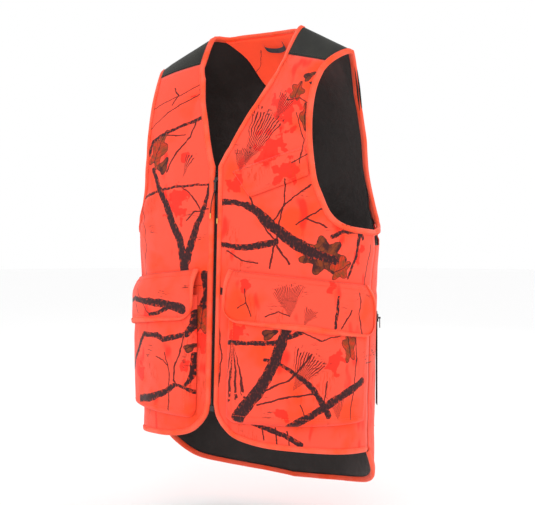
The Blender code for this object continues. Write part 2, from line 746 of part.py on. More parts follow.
for word, mirror in (("left", 1), ("right", -1)):
    point, turn = hinge_line(mirror)
    hinge = empty("flap_hinge_" + word, point, turn)
    place = lambda u, v, m=mirror: flap_point(u, v, FLAP_INSET, 0.0, m)
    attach(sheet("pocket_flap_" + word, "camo_orange", 14, 5, place, FLAP_THICKNESS), hinge)
    rise = [FLAP_BINDING_TOP * k / 4 for k in range(5)]
    spots = [(0, v) for v in reversed(rise)] + [(k / 18, 0) for k in range(19)] + [(1, v) for v in rise]
    bound = chain([flap_point(u, v, 0.0, -0.0008, mirror) for u, v in spots])
    attach(tube("flap_binding_" + word, "binding_orange", bound, 0.0020), hinge)

# Hook and loop fastening under each flap
for word, mirror in (("left", 1), ("right", -1)):
    hinge = bpy.data.objects["flap_hinge_" + word]

    def hook(u, v, m=mirror):
        extra = -FLAP_THICKNESS - STRIP_GAP
        return flap_point(between(*STRIP_SPAN, u), between(*STRIP_HEIGHT, v), 0.0, extra, m)

    attach(sheet("flap_hook_strip_" + word, "black_tape", 5, 1, hook, STRIP_THICKNESS[0]), hinge)

    def loop_strip(u, v, m=mirror):
        p, h = flap_shape(between(*STRIP_SPAN, u), between(*STRIP_HEIGHT, v), 0.0)
        return lifted(-1, p, h, POCKET_DEPTH + LOOP_STRIP_LIFT, m)

    sheet("pocket_loop_strip_" + word, "black_tape", 5, 1, loop_strip, STRIP_THICKNESS[1])

# Chest pocket, on the wearer's left only
welt = patch((CHEST_FLAP_FOOT[0], CHEST_FLAP_FOOT[1], CHEST_FLAP_TOP[0], CHEST_FLAP_TOP[1]))
sheet("chest_pocket_welt", "camo_orange", 6, 2, on_half(-1, welt, WELT_LIFT), shell)
bag = patch(CHEST_BAG_CORNERS)
sheet("chest_pocket_bag", "black_lining", 5, 5, on_half(-1, bag, CHEST_BAG[1]), SHEET_THICKNESS)


# Game bag across the back, reached through a zip at each side
def game_shape(u, v):
    foot, head = GAME_Z
    near = max(0.0, abs(u) - 0.9) * 10
    lift = 0.02 * (1 - math.sqrt(1 - min(1.0, near) ** 2)) * (1 - v)
    p = at_degrees(GAME_END, 0)[0] * u
    return p, between(foot, head, v) - CHEST_Z + lift


def game_face(u, v):
    columns, rows = GAME_CELLS
    j = abs(round(u * columns) - columns // 2)
    k = round(v * rows)
    s = {columns // 2: 1.0, columns // 2 - 1: 1 - WALL}.get(j, (1 - WALL) * j / (columns // 2 - 1))
    t = {0: 0.0, 1: FOOT_WALL, rows: 1.0}.get(k, between(FOOT_WALL, 1.0, (k - 1) / (rows - 1)))
    flat = k == 0 or j == columns // 2
    return lifted(1, *game_shape(s, t), POCKET_LIFT if flat else GAME_DEPTH, 1 if u >= 0.5 else -1)


sheet("game_bag", "camo_orange", *GAME_CELLS, game_face, POCKET_THICKNESS)


def lift_box(name, collection, material, x, lift, z, parent):
    """A box in a zip's frame, where lift is measured outwards and z up the zip."""
    return block(name, collection, material, (x[0], -lift[1], z[0]), (x[1], -lift[0], z[1]), parent)


def puller(name, parent, pivot, length, width):
    """A zip's pull: a plate that hangs from a pin through its thick upper end."""
    thick = (-PULL_HUB, PULL_HUB)
    hub = lift_box(name, PARTS, "black_metal", (-width / 2, width / 2), thick, thick, None)
    plate = lift_box(name + " plate", CUTTERS, "black_metal", (-width / 2, width / 2), (-0.0006, 0.0006),
                     (-length, -0.0006), hub)
    bore = rod(name + " bore", CUTTERS, "black_metal", (0, 0, 0), 0.0008, 0.02, (0, math.pi / 2, 0), hub)
    eye = lift_box(name + " eye", CUTTERS, "black_metal", (-0.0011, 0.0011), (-0.01, 0.01),
                   (-length + 0.0015, -length + 0.0051), hub)
    hub.location = pivot
    hub.parent = parent
    combine(hub, plate, "UNION")
    combine(hub, bore, "DIFFERENCE")
    combine(hub, eye, "DIFFERENCE")
    return hub


def slider(name, parent, z, outer, inner):
    """A zip slider: outer and inner plates on a web, and lugs with a pin for the pull. Returns where
    the pin is in the slider's own frame."""
    half, long = SLIDER_SIZE[0] / 2, SLIDER_SIZE[1] / 2
    pin_lift = outer[1] + PIN_RISE
    body = lift_box(name, PARTS, "black_metal", (-half, half), outer, (-long, long), None)
    middle = Vector((0, -(outer[0] + outer[1]) / 2, 0))
    pieces = [
        lift_box(name + " inner plate", CUTTERS, "black_metal", (-half, half), inner, (-long, long), None),
        lift_box(name + " web", CUTTERS, "black_metal", (-SLIDER_WEB / 2, SLIDER_WEB / 2),
                 (inner[0] + 0.0003, outer[1] - 0.0003), (-long + 0.0005, -long + 0.0045), None),
        rod(name + " pin", CUTTERS, "black_metal", (0, -pin_lift, 0), 0.0005, 0.0062, (0, math.pi / 2, 0)),
    ]
    for side in (1, -1):
        span = sorted((side * 0.0021, side * 0.0033))
        pieces.append(lift_box(f"{name} lug {side}", CUTTERS, "black_metal", span,
                               (outer[1] - 0.0003, pin_lift + 0.0009), (-0.0012, 0.0012), None))
    for piece in pieces:
        piece.location -= middle
        piece.parent = body
        combine(body, piece, "UNION")
    body.location = middle + Vector((0, 0, z))
    body.parent = parent
    return Vector((0, -pin_lift, 0)) - middle


def chain_and_tape(names, line, tape_x, tape_lift, coil_lift, span):
    """The two tapes and the two rows of coil of a zip."""
    for (tape_name, coil_name), sign in zip(names, (1, -1)):
        reach = sorted(sign * x for x in tape_x)
        lift_box(tape_name, PARTS, "black_tape", reach, tape_lift, span, line)
        reach = sorted(sign * x for x in COIL_X)
        top = span[1] - 0.004
        foot = span[0] + (PIN_LENGTH if coil_name == "zip_coil_right" else 0.0)
        lift_box(coil_name, PARTS, "black_coil", reach, coil_lift, (foot, top), line)


def smooth_line(points, steps):
    """Points along a smooth curve through the given ones."""
    last = len(points) - 1
    line = []
    for i in range(last):
        near = [points[max(i - 1, 0)], points[i], points[i + 1], points[min(i + 2, last)]]
        line += [catmull(*near, k / steps) for k in range(steps)]
    return line + [points[-1]]


# Main zip
lean = math.atan(FRONT_FLARE)
top_y = -FRONT_DEPTH + FRONT_FLARE * (ZIP_TOP_Z - CHEST_Z)
main_line = empty("main_zip_line", (0, top_y, ZIP_TOP_Z), (-lean, 0, 0))
names = (("zip_tape_left", "zip_coil_left"), ("zip_tape_right", "zip_coil_right"))
chain_and_tape(names, main_line, TAPE_X, TAPE_LIFT, COIL_LIFT, (-ZIP_LENGTH, 0))
for word, sign in (("left", 1), ("right", -1)):
    reach = sorted(sign * x for x in COIL_X)
    lift_box("zip_top_stop_" + word, PARTS, "black_metal", reach, COIL_LIFT, (-0.0036, -0.0010), main_line)
lift_box("zip_insertion_pin", PARTS, "black_metal", (-COIL_X[1], -COIL_X[0]), COIL_LIFT,
         (-ZIP_LENGTH, -ZIP_LENGTH + PIN_LENGTH - 0.0004), main_line)
lift_box("zip_retainer_box", PARTS, "black_metal", (-0.0036, 0.0036), (-0.0050, -0.0012),
         (-ZIP_LENGTH - 0.009, -ZIP_LENGTH - 0.0004), main_line)
pin = slider("zip_slider", main_line, -SLIDER_DOWN, SLIDER_OUTER, SLIDER_INNER)
puller("zip_pull_tab", bpy.data.objects["zip_slider"], pin, PULL_LENGTH, PULL_WIDTH)

# Cord through the pull, with a tip on each end
bpy.context.view_layer.update()
tab = bpy.data.objects["zip_pull_tab"]
ends = (Vector((-0.0062, -0.0030, -CORD_DROP)), Vector((0.0062, -0.0022, -CORD_DROP - 0.008)))
eye_z = -PULL_LENGTH + 0.0036
route = [
    ends[0],
    Vector((-0.0052, -0.0030, -CORD_DROP * 0.72)),
    Vector((-0.0030, -0.0028, -PULL_LENGTH - 0.0070)),
    Vector((-0.0012, -0.0024, -PULL_LENGTH - 0.0010)),
    Vector((-0.0003, -0.0020, eye_z - 0.0012)),
    Vector((0.0, 0.0, eye_z + 0.0002)),
    Vector((0.0003, 0.0019, eye_z - 0.0012)),
    Vector((0.0012, 0.0016, -PULL_LENGTH - 0.0012)),
    Vector((0.0032, -0.0008, -PULL_LENGTH - 0.0090)),
    Vector((0.0054, -0.0018, -CORD_DROP * 0.75)),
    ends[1],
]
run = [tab.matrix_world @ point for point in smooth_line(route, 4)]
cord = tube("zip_pull_cord", "black_tape", run, CORD_RADIUS)
attach(cord, tab)
for index, end in enumerate(ends):
    middle = end - Vector((0, 0, TIP_LENGTH / 2 + 0.0003))
    rod(f"cord_tip_{index + 1}", PARTS, "brass", middle, TIP_RADIUS, TIP_LENGTH, (0, 0, 0), tab)

# Side zips of the game bag
for word, mirror in (("left", 1), ("right", -1)):
    degrees, foot, head = SIDE_ZIP
    angle = math.radians(degrees)
    h = (foot + head) / 2 - CHEST_Z
    normal = outward(1, angle, h)
    point = surface_point(1, angle, h)
    turn = math.atan2(normal.x, -normal.y) * mirror
    side_line = empty("side_zip_line_" + word, (point.x * mirror, point.y, point.z), (0, 0, turn))
    half = (head - foot) / 2
    order = ("rear", "front") if mirror > 0 else ("front", "rear")
    names = [(f"game_zip_tape_{end}_{word}", f"game_zip_coil_{end}_{word}") for end in order]
    reach = (0.0012, SIDE_ZIP_WIDTH / 2)
    chain_and_tape(names, side_line, reach, SIDE_TAPE_LIFT, SIDE_COIL_LIFT, (-half, half))
    name = "game_zip_slider_" + word
    pin = slider(name, side_line, half - 0.011, SIDE_SLIDER_OUTER, SIDE_SLIDER_INNER)
    puller("game_zip_pull_" + word, bpy.data.objects[name], pin, SIDE_PULL_LENGTH, PULL_WIDTH)

# Hanging loop inside the back neck, hinged on the line through its sewn ends
loop_h = cloth(0.0, BACK_NECK[0][1])[1] - LOOP_BELOW_NECK
loop_points = []
for turn in range(-90, 91, 15):
    x = LOOP_WIDTH / 2 * math.sin(math.radians(turn))
    drop = LOOP_DROP * max(0.0, math.cos(math.radians(turn))) ** 0.6
    loop_points.append(lifted(1, cloth(x, 0.0)[0], loop_h - drop, LOOP_LIFT))
loop_hinge = empty("hang_loop_hinge", (loop_points[0] + loop_points[-1]) / 2)
attach(tube("hang_loop", "grey_webbing", loop_points, LOOP_RADIUS), loop_hinge)
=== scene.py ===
import bisect
import math
import random

import bmesh
import bpy
from mathutils import Matrix, Vector, noise


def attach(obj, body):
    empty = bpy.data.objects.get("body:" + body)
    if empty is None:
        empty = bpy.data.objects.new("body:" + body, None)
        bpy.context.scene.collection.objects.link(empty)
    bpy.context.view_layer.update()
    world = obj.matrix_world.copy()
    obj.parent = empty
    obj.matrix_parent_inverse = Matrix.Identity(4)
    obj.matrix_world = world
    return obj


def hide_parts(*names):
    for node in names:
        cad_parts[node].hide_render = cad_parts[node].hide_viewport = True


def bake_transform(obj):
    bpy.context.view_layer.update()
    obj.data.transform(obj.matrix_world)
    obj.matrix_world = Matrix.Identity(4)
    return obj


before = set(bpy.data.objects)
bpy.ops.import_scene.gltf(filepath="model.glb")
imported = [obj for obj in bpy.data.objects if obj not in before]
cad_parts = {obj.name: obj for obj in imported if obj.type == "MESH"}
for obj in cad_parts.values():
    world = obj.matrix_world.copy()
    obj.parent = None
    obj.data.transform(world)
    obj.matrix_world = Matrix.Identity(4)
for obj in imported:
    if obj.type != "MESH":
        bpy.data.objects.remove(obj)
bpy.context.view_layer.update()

print("frame loaded")

# studio

view = {
    "turn": 32,  # degrees from straight in front, towards the wearer's left
    "distance": 1.62,
    "horizon": -0.318,  # height of the lens
    "lens": 65.4,
    "shiftX": 9.8 / 535,
    "shiftY": -14.5 / 535,
}


def makeCamera():
    camera = bpy.data.objects.new("camera", bpy.data.cameras.new("camera"))
    bpy.context.scene.collection.objects.link(camera)
    turn = math.radians(view["turn"])
    away = Vector((math.sin(turn), -math.cos(turn), 0)) * view["distance"]
    camera.location = away + Vector((0, 0, view["horizon"]))
    camera.rotation_euler = (math.pi / 2, 0, turn)
    camera.data.lens = view["lens"]
    camera.data.sensor_width = 36
    camera.data.shift_x = view["shiftX"]
    camera.data.shift_y = view["shiftY"]
    camera.data.clip_end = 50
    bpy.context.scene.camera = camera


def makeLamp(name, place, size, power, target=(0, 0, -0.35)):
    lamp = bpy.data.lights.new(name, "AREA")
    lamp.shape = "RECTANGLE"
    lamp.size, lamp.size_y = size
    lamp.energy = power
    holder = bpy.data.objects.new(name, lamp)
    bpy.context.scene.collection.objects.link(holder)
    holder.location = place
    holder.rotation_euler = (Vector(target) - Vector(place)).to_track_quat("-Z", "Y").to_euler()


makeCamera()
makeLamp("keyLamp", (1.3, -2.6, 1.3), (1.5, 1.5), 20)
makeLamp("fillLamp", (-2.4, -1.7, 0.4), (1.6, 2.0), 4)
makeLamp("sideLamp", (2.6, 0.4, 0.3), (1.2, 2.0), 6)
makeLamp("backLamp", (0.2, 2.6, 1.2), (2.0, 1.4), 10)
bpy.context.scene.view_settings.view_transform = "Standard"
world = bpy.data.worlds.new("studio")
world.use_nodes = True
world.node_tree.nodes["Background"].inputs["Color"].default_value = (1, 1, 1, 1)
world.node_tree.nodes["Background"].inputs["Strength"].default_value = 1.0
bpy.context.scene.world = world

# shader helper


class Wire:
    def __init__(self, tree, socket=None):
        self.tree = tree
        self.socket = socket

    def node(self, kind, settings, values, output=0):
        made = self.tree.nodes.new(kind)
        for key, value in settings.items():
            if key == "stops":
                while len(made.color_ramp.elements) < len(value):
                    made.color_ramp.elements.new(1.0)
                for stop, (where, colour) in zip(made.color_ramp.elements, value):
                    stop.position = where
                    stop.color = (*colour, 1.0)
            else:
                setattr(made, key, value)
        for key, value in values.items():
            if isinstance(value, Wire):
                self.tree.links.new(value.socket, made.inputs[key])
            else:
                made.inputs[key].default_value = value
        return Wire(self.tree, made.outputs[output])

    def maths(self, operation, *values):
        return self.node("ShaderNodeMath", {"operation": operation}, dict(enumerate(values)))

    def __add__(self, other):
        return self.maths("ADD", self, other)

    def __sub__(self, other):
        return self.maths("SUBTRACT", self, other)

    def __rsub__(self, other):
        return self.maths("SUBTRACT", other, self)

    def __mul__(self, other):
        return self.maths("MULTIPLY", self, other)

    def __truediv__(self, other):
        return self.maths("DIVIDE", self, other)

    __radd__ = __add__
    __rmul__ = __mul__

    def low(self, other):
        return self.maths("MINIMUM", self, other)

    def high(self, other):
        return self.maths("MAXIMUM", self, other)

    def step(self, start, end):
        return self.node("ShaderNodeMapRange", {"interpolation_type": "SMOOTHSTEP", "clamp": False},
                         {0: self, 1: start, 2: end, 3: 0.0, 4: 1.0})

    def mix(self, first, second):  # between two colours, by this mask
        return self.node("ShaderNodeMix", {"data_type": "RGBA"}, {0: self, 6: first, 7: second}, 2)

    def noise(self, place, scale, detail=2.0, rough=0.5, output=0):
        return self.node("ShaderNodeTexNoise", {}, {"Vector": place, "Scale": scale, "Detail": detail,
                                                   "Roughness": rough}, output)

    def dot(self, place, axis):
        return self.node("ShaderNodeVectorMath", {"operation": "DOT_PRODUCT"}, {0: place, 1: axis}, 1)

    def stretch(self, place, factors):
        return self.node("ShaderNodeVectorMath", {"operation": "MULTIPLY"}, {0: place, 1: factors})


def newMaterial(name, roughness, metallic=0.0, sheen=0.0, onObject=False):
    material = bpy.data.materials.new(name)
    material.use_nodes = True
    shader = material.node_tree.nodes["Principled BSDF"]
    shader.inputs["Roughness"].default_value = roughness
    shader.inputs["Metallic"].default_value = metallic
    shader.inputs["Specular IOR Level"].default_value = 0.25
    if sheen:
        shader.inputs["Sheen Weight"].default_value = sheen
        shader.inputs["Sheen Roughness"].default_value = 0.4
    wire = Wire(material.node_tree)
    if onObject:
        place = wire.node("ShaderNodeTexCoord", {}, {}, 3)
    else:
        place = wire.node("ShaderNodeUVMap", {"uv_map": "cloth"}, {})
    return material, shader, wire, place


def feed(wire, shader, name, value):
    if isinstance(value, Wire):
        wire.tree.links.new(value.socket, shader.inputs[name])
    else:
        shader.inputs[name].default_value = value


# floor, a wide disc below the hem
floor = {"height": -0.80, "radius": 14}


def makeFloor():
    bm = bmesh.new()
    bmesh.ops.create_circle(bm, cap_ends=True, segments=64, radius=floor["radius"])
    bmesh.ops.translate(bm, verts=bm.verts, vec=(0, 0, floor["height"]))
    mesh = bpy.data.meshes.new("floor")
    bm.to_mesh(mesh)
    bm.free()
    ground = bpy.data.objects.new("floor", mesh)
    bpy.context.scene.collection.objects.link(ground)
    material = bpy.data.materials.new("paleFloor")
    material.use_nodes = True
    shader = material.node_tree.nodes["Principled BSDF"]
    shader.inputs["Base Color"].default_value = (0.97, 0.97, 0.97, 1)
    shader.inputs["Roughness"].default_value = 0.9
    mesh.materials.append(material)


makeFloor()

# the body surface that every cloth piece is laid on; p is metres of cloth round the body
body = {
    "neckX": 0.083,
    "neckZ": 0.027,
    "shoulderFall": 0.52,
    "tipX": 0.187,
    "shoulderY": -0.004,
    "tipForward": 0.0135,
    "crestRound": 0.012,
    "crestSlope": 0.60,
    "chestZ": -0.206,
    "aboveChest": 0.24,
    "halfWidth": 0.2165,
    "frontDepth": 0.1216,
    "frontFlare": 0.036,
    "frontPower": 2.5,
    "backPower": (1.8, 2.3),
    "backPowerZ": -0.5,
    "radius": 0.19,
}
stations = [
    (-0.206, 0.2165, 0.1250),
    (-0.306, 0.2160, 0.1245),
    (-0.420, 0.2080, 0.1210),
    (-0.520, 0.2030, 0.1210),
    (-0.650, 0.2000, 0.1230),
    (-0.760, 0.1965, 0.1250),
]
edges = {
    "vee": [(0.004, -0.206), (0.0185, -0.1725), (0.034, -0.134), (0.0576, -0.083), (0.0755, -0.037)],
    "arm": [(0.2165, -0.306), (0.2015, -0.300), (0.183, -0.284), (0.170, -0.252), (0.161, -0.221),
            (0.156, -0.168), (0.1555, -0.110), (0.159, -0.070), (0.168, -0.045)],
    "backArm": [(0.2165, -0.306), (0.210, -0.299), (0.195, -0.280), (0.181, -0.239), (0.171, -0.191),
                (0.166, -0.124), (0.168, -0.080)],
    "hem": [(0.018, -0.606), (0.035, -0.620), (0.060, -0.629), (0.100, -0.635), (0.150, -0.639)],
    "tail": [(-0.740, 0), (-0.735, 20), (-0.728, 40), (-0.718, 57), (-0.704, 68), (-0.680, 80), (-0.650, 90)],
    "neckBack": [(0.0, 0.034), (0.025, 0.033), (0.050, 0.031), (0.070, 0.0285)],
    "yoke": [(0.077, -0.026), (0.163, -0.048)],
    "backYokeZ": -0.075,
}


def between(low, high, share):
    return low + (high - low) * share


def clamp(value, low=0.0, high=1.0):
    return min(high, max(low, value))


def smooth(value):
    value = clamp(value)
    return value * value * (3 - 2 * value)


def catmull(a, b, c, d, t):
    return 0.5 * (2 * b + (c - a) * t + (2 * a - 5 * b + 4 * c - d) * t**2 + (3 * b - a - 3 * c + d) * t**3)


def station(z, column):
    if z >= stations[0][0]:
        return stations[0][column]
    if z <= stations[-1][0]:
        return stations[-1][column]
    i = next(k for k in range(len(stations) - 1) if z >= stations[k + 1][0])
    t = (stations[i][0] - z) / (stations[i][0] - stations[i + 1][0])
    near = [stations[max(i - 1, 0)], stations[i], stations[i + 1], stations[min(i + 2, len(stations) - 1)]]
    return catmull(*(row[column] for row in near), t)


def shoulderZ(x):
    x = abs(x)
    top = body["neckZ"] + 0.006
    if x > body["neckX"]:
        return top - body["shoulderFall"] * (x - body["neckX"])
    return top + body["shoulderFall"] * body["neckX"] / 2 * (1 - (x / body["neckX"]) ** 2)


def surfacePoint(side, angle, h):  # side -1 is the front, and h is measured up the cloth from the chest
    turned = math.sin(angle)
    low = clamp(-h / (body["chestZ"] - body["backPowerZ"]))
    power = body["frontPower"] if side < 0 else between(*body["backPower"], low)
    flat = max(0.0, 1 - abs(turned) ** power) ** (1 / power)
    if h <= 0:
        z = body["chestZ"] + h
        depth = body["frontDepth"] - body["frontFlare"] * h if side < 0 else station(z, 2)
        return Vector((station(z, 1) * turned, side * depth * flat, z))
    x = body["halfWidth"] * turned
    share = h / body["aboveChest"]
    out = clamp((abs(x) - 0.07) / 0.09)
    bend = between(1.25, 3.2, out) if side < 0 else between(6.0, 2.5, min(1.0, abs(x) / 0.15))
    depth = (body["frontDepth"] if side < 0 else stations[0][2]) * flat * (1 - share**bend)
    lean = max(0.0, abs(x) - body["neckX"]) / (body["tipX"] - body["neckX"])
    z = between(body["chestZ"], shoulderZ(x), share)
    z -= body["crestSlope"] * (math.hypot(depth, body["crestRound"]) - depth) * share**4
    return Vector((x, (body["shoulderY"] - body["tipForward"] * lean) * share**2 + side * depth, z))


def outward(side, angle, h):
    step = 0.002
    angle = min(angle, math.pi / 2 - 2 * step) if angle > 0 else max(angle, 2 * step - math.pi / 2)
    along = surfacePoint(side, angle + step, h) - surfacePoint(side, angle - step, h)
    top = min(h + step, body["aboveChest"])
    up = surfacePoint(side, angle, top) - surfacePoint(side, angle, top - 2 * step)
    return (along.cross(up) * -side).normalized()


# slack in the cloth, as broad swells and small creases that every layer shares
slack = {"broad": 0.0030, "fine": 0.0011, "pull": 0.0016, "zipRoom": 0.045}


def ripple(point):
    fade = smooth((abs(point.x) - 0.018) / slack["zipRoom"]) if point.y < 0 and point.z < -0.18 else 1.0
    aside = math.hypot(abs(point.x) - 0.2, point.y - 0.054)
    if -0.61 < point.z < -0.41:
        fade *= smooth((aside - 0.02) / 0.04)
    if point.z > -0.10:
        fade *= smooth((0.035 - point.z) / 0.135)
    broad = noise.noise(Vector((point.x * 11, point.y * 8 + 3, point.z * 7)))
    fine = noise.noise(Vector((point.x * 38 + point.z * 22, point.y * 30, point.z * 26 - point.x * 8)))
    around = math.hypot(abs(point.x) - 0.205, point.z + 0.30)  # creases that run out from under the arm
    turn = math.atan2(point.z + 0.30, abs(point.x) - 0.205)
    pull = math.sin(turn * 13 + 2 * broad) * math.exp(-(((around - 0.07) / 0.05) ** 2))
    return fade * (slack["broad"] * broad + slack["fine"] * fine + slack["pull"] * pull)


def lifted(side, p, h, lift, mirror=1):
    if h > body["aboveChest"]:
        side, h = -side, 2 * body["aboveChest"] - h
    angle = p / body["radius"]
    point = surfacePoint(side, angle, h)
    normal = outward(side, angle, h)
    under = body["aboveChest"] - h
    if under < 0.012:
        lean = 0.5 * (1 - under / 0.012)
        normal = (normal * (1 - lean) + outward(-side, angle, h) * lean).normalized()
    point.x *= mirror
    normal.x *= mirror
    return point + normal * (lift + ripple(point))


def cloth(x, z):
    p = body["radius"] * math.asin(min(1.0, x / station(z, 1)))
    if z <= body["chestZ"]:
        return p, z - body["chestZ"]
    return p, body["aboveChest"] * min(1.0, (z - body["chestZ"]) / (shoulderZ(x) - body["chestZ"]))


def atDegrees(degrees, z):
    return body["radius"] * math.radians(degrees), z - body["chestZ"]


def sideways(side, point, run, distance):
    p, h = point
    step = 0.003
    h = clamp(h, -1.3, body["aboveChest"] - 2 * step)
    turn = min(p / body["radius"], math.pi / 2 - 4 * step)
    along = surfacePoint(side, turn + step, h) - surfacePoint(side, turn - step, h)
    along /= 2 * step * body["radius"]
    up = (surfacePoint(side, turn, h + step) - surfacePoint(side, turn, h - step)) / (2 * step)
    dp, dh = run
    square = (-(along.dot(up) * dp + up.dot(up) * dh), along.dot(along) * dp + along.dot(up) * dh)
    length = (along * square[0] + up * square[1]).length
    return square[0] * distance / length, square[1] * distance / length


class Route:  # a line on the cloth, followed by its share of length

    def __init__(self, points, curved=True, side=-1):
        self.side = side
        self.line = []
        last = len(points) - 1
        for i in range(last):
            near = [points[max(i - 1, 0)], points[i], points[i + 1], points[min(i + 2, last)]]
            for k in range(12):
                if curved:
                    self.line.append([catmull(*(q[axis] for q in near), k / 12) for axis in (0, 1)])
                else:
                    self.line.append([between(near[1][axis], near[2][axis], k / 12) for axis in (0, 1)])
        self.line.append(list(points[-1]))
        self.lengths = [0.0]
        for a, b in zip(self.line, self.line[1:]):
            self.lengths.append(self.lengths[-1] + math.dist(a, b))

    def at(self, share, inset=0.0):
        goal = clamp(share) * self.lengths[-1]
        i = min(max(bisect.bisect_left(self.lengths, goal) - 1, 0), len(self.line) - 2)
        a, b = self.line[i], self.line[i + 1]
        t = (goal - self.lengths[i]) / max(self.lengths[i + 1] - self.lengths[i], 1e-9)
        point = between(a[0], b[0], t), between(a[1], b[1], t)
        if inset == 0:
            return point
        step = sideways(self.side, point, (b[0] - a[0], b[1] - a[1]), inset)
        return point[0] + step[0], point[1] + step[1]


def coons(foot, head, inner, outer):
    corners = inner(0), outer(0), inner(1), outer(1)

    def at(u, v):
        low, high, left, right = foot(u), head(u), inner(v), outer(v)
        point = []
        for axis in (0, 1):
            ruled = (1 - v) * low[axis] + v * high[axis] + (1 - u) * left[axis] + u * right[axis]
            a, b, c, d = (corner[axis] for corner in corners)
            point.append(ruled - ((1 - u) * (1 - v) * a + u * (1 - v) * b + (1 - u) * v * c + u * v * d))
        return point

    return at


neckPoint = cloth(body["neckX"], shoulderZ(body["neckX"]))
tipPoint = cloth(body["tipX"], shoulderZ(body["tipX"]))
vee = Route([cloth(x, z) for x, z in edges["vee"]] + [cloth(*edges["yoke"][0])])
neckTop = Route([cloth(*edges["yoke"][0]), neckPoint])
centreUp = Route([cloth(0.004, -0.300), cloth(0.004, body["chestZ"])], False)
centreLow = Route([cloth(0.004, -0.574), cloth(0.004, -0.300)], False)
corner = Route([cloth(*edges["hem"][0]), cloth(0.0085, -0.592), cloth(0.004, -0.574)])
hem = Route([cloth(x, z) for x, z in edges["hem"]] + [atDegrees(90, -0.650)])
sideSeam = Route([atDegrees(90, -0.650), atDegrees(90, -0.306)], False)
armFront = Route([cloth(x, z) for x, z in edges["arm"]] + [tipPoint])
armBack = Route([cloth(x, z) for x, z in edges["backArm"]] + [tipPoint], side=1)
neckBack = Route([cloth(x, z) for x, z in edges["neckBack"]] + [neckPoint], side=1)
yokeSeam = Route([cloth(*edges["yoke"][0]), cloth(*edges["yoke"][1])], False)
tail = Route([atDegrees(turn, z) for z, turn in edges["tail"]], side=1)


def shareAt(route, h):
    return next(k / 400 for k in range(401) if route.at(k / 400)[1] >= h)


frontSplit = shareAt(armFront, yokeSeam.at(1)[1])
backSplit = shareAt(armBack, cloth(0.16, edges["backYokeZ"])[1])


def straight(a, b):
    return lambda t: (between(a[0], b[0], t), between(a[1], b[1], t))


def underRidge(point):
    return point[0], min(point[1], body["aboveChest"] - 0.0004)


def sideEdge(inset):
    def at(v):
        p, h = sideSeam.at(v)
        return p - 0.0002, h + inset * (1 - 2 * v)

    return at


def frontPanel(inset):
    def inner(v):
        for route, start, end in ((corner, 0, 0.1), (centreLow, 0.1, 0.5), (centreUp, 0.5, 0.65)):
            if v < end:
                return route.at((v - start) / (end - start), -inset)
        return vee.at((v - 0.65) / 0.35, -inset)

    def outer(v):
        if v <= 0.5:
            return sideEdge(inset)(2 * v)
        return armFront.at((2 * v - 1) ** 1.3 * frontSplit, inset)

    return coons(lambda u: hem.at(u, inset), straight(inner(1), outer(1)), inner, outer)


def frontTop(inset):
    def outer(v):
        return underRidge(armFront.at(between(frontSplit, 1, v), inset))

    def inner(v):
        return underRidge(neckTop.at(v, -inset))

    head = straight(underRidge((inner(1)[0], 1)), underRidge((outer(1)[0], 1)))
    return coons(straight(inner(0), outer(0)), head, inner, outer)


def backPanel(inset):
    def outer(v):
        if v <= 0.5:
            return sideEdge(inset)(2 * v)
        return armBack.at((2 * v - 1) ** 1.3 * backSplit, inset)

    top = cloth(0.0, edges["backYokeZ"])[1]
    foot = lambda u: tail.at(u, inset)
    inner = straight(foot(0), (0.0, top))
    return coons(foot, straight(inner(1), (outer(1)[0], top)), inner, outer)


def backTop(inset):
    def outer(v):
        return underRidge(armBack.at(between(backSplit, 1, v), inset))

    def head(u):
        if u <= 0.4:
            return underRidge(neckBack.at(u / 0.4, -inset))
        start, end = neckBack.at(1, -inset), outer(1)
        return underRidge((between(start[0], end[0], (u - 0.4) / 0.6), 1))

    footH = cloth(0.0, edges["backYokeZ"])[1]
    return coons(straight((0.0, footH), (outer(0)[0], footH)), head, straight((0.0, footH), head(0)), outer)


# making pieces
pieces = {}
flatSizes = []


def newPiece(name, bm, material, rides, replaces=()):
    mesh = bpy.data.meshes.new(name)
    bm.to_mesh(mesh)
    bm.free()
    mesh.shade_smooth()
    piece = bpy.data.objects.new(name, mesh)
    bpy.context.scene.collection.objects.link(piece)
    mesh.materials.append(material)
    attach(piece, rides)
    if replaces:
        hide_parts(*replaces)
    pieces[name] = piece
    return piece


def gridCloth(name, columns, rows, place, pattern, material, rides, slotName, replaces, thickness, held,
              restsOn):
    # a grid bent to place(u, v), with pattern(u, v) as its UV in metres and thickness added inwards
    bm = bmesh.new()
    bmesh.ops.create_grid(bm, x_segments=columns, y_segments=rows, size=0.5)
    share = {v: (v.co.x + 0.5, v.co.y + 0.5) for v in bm.verts}
    layer = bm.loops.layers.uv.new("cloth")
    spots = {v: pattern(*share[v]) for v in bm.verts}
    for face in bm.faces:
        for loop in face.loops:
            loop[layer].uv = spots[loop.vert]
    for vertex in bm.verts:
        vertex.co = place(*share[vertex])
    bm.normal_update()
    facing = sum(face.normal.dot(face.calc_center_median() * Vector((1, 1, 0))) * face.calc_area()
                 for face in bm.faces)
    if facing < 0:
        bmesh.ops.reverse_faces(bm, faces=bm.faces)
    area = sum(face.calc_area() for face in bm.faces)
    piece = newPiece(name, bm, material, rides, replaces)
    solidify = piece.modifiers.new("thickness", "SOLIDIFY")
    solidify.thickness = thickness
    solidify.offset = -1
    solidify.use_even_offset = False
    if held is None:
        return piece
    measure = lambda spot, along: max(
        sum((spot(*inOrder(a / 24, other, along)) - spot(*inOrder((a + 1) / 24, other, along))).length
            for a in range(24)) for other in (0.02, 0.5, 0.98))
    width, length = measure(place, True), measure(place, False)
    flatSizes.append(f"{name}: {width * 1000:.0f} x {length * 1000:.0f} mm, {area * 10000:.0f} cm2")
    return piece


def inOrder(value, other, along):
    return (value, other) if along else (other, value)


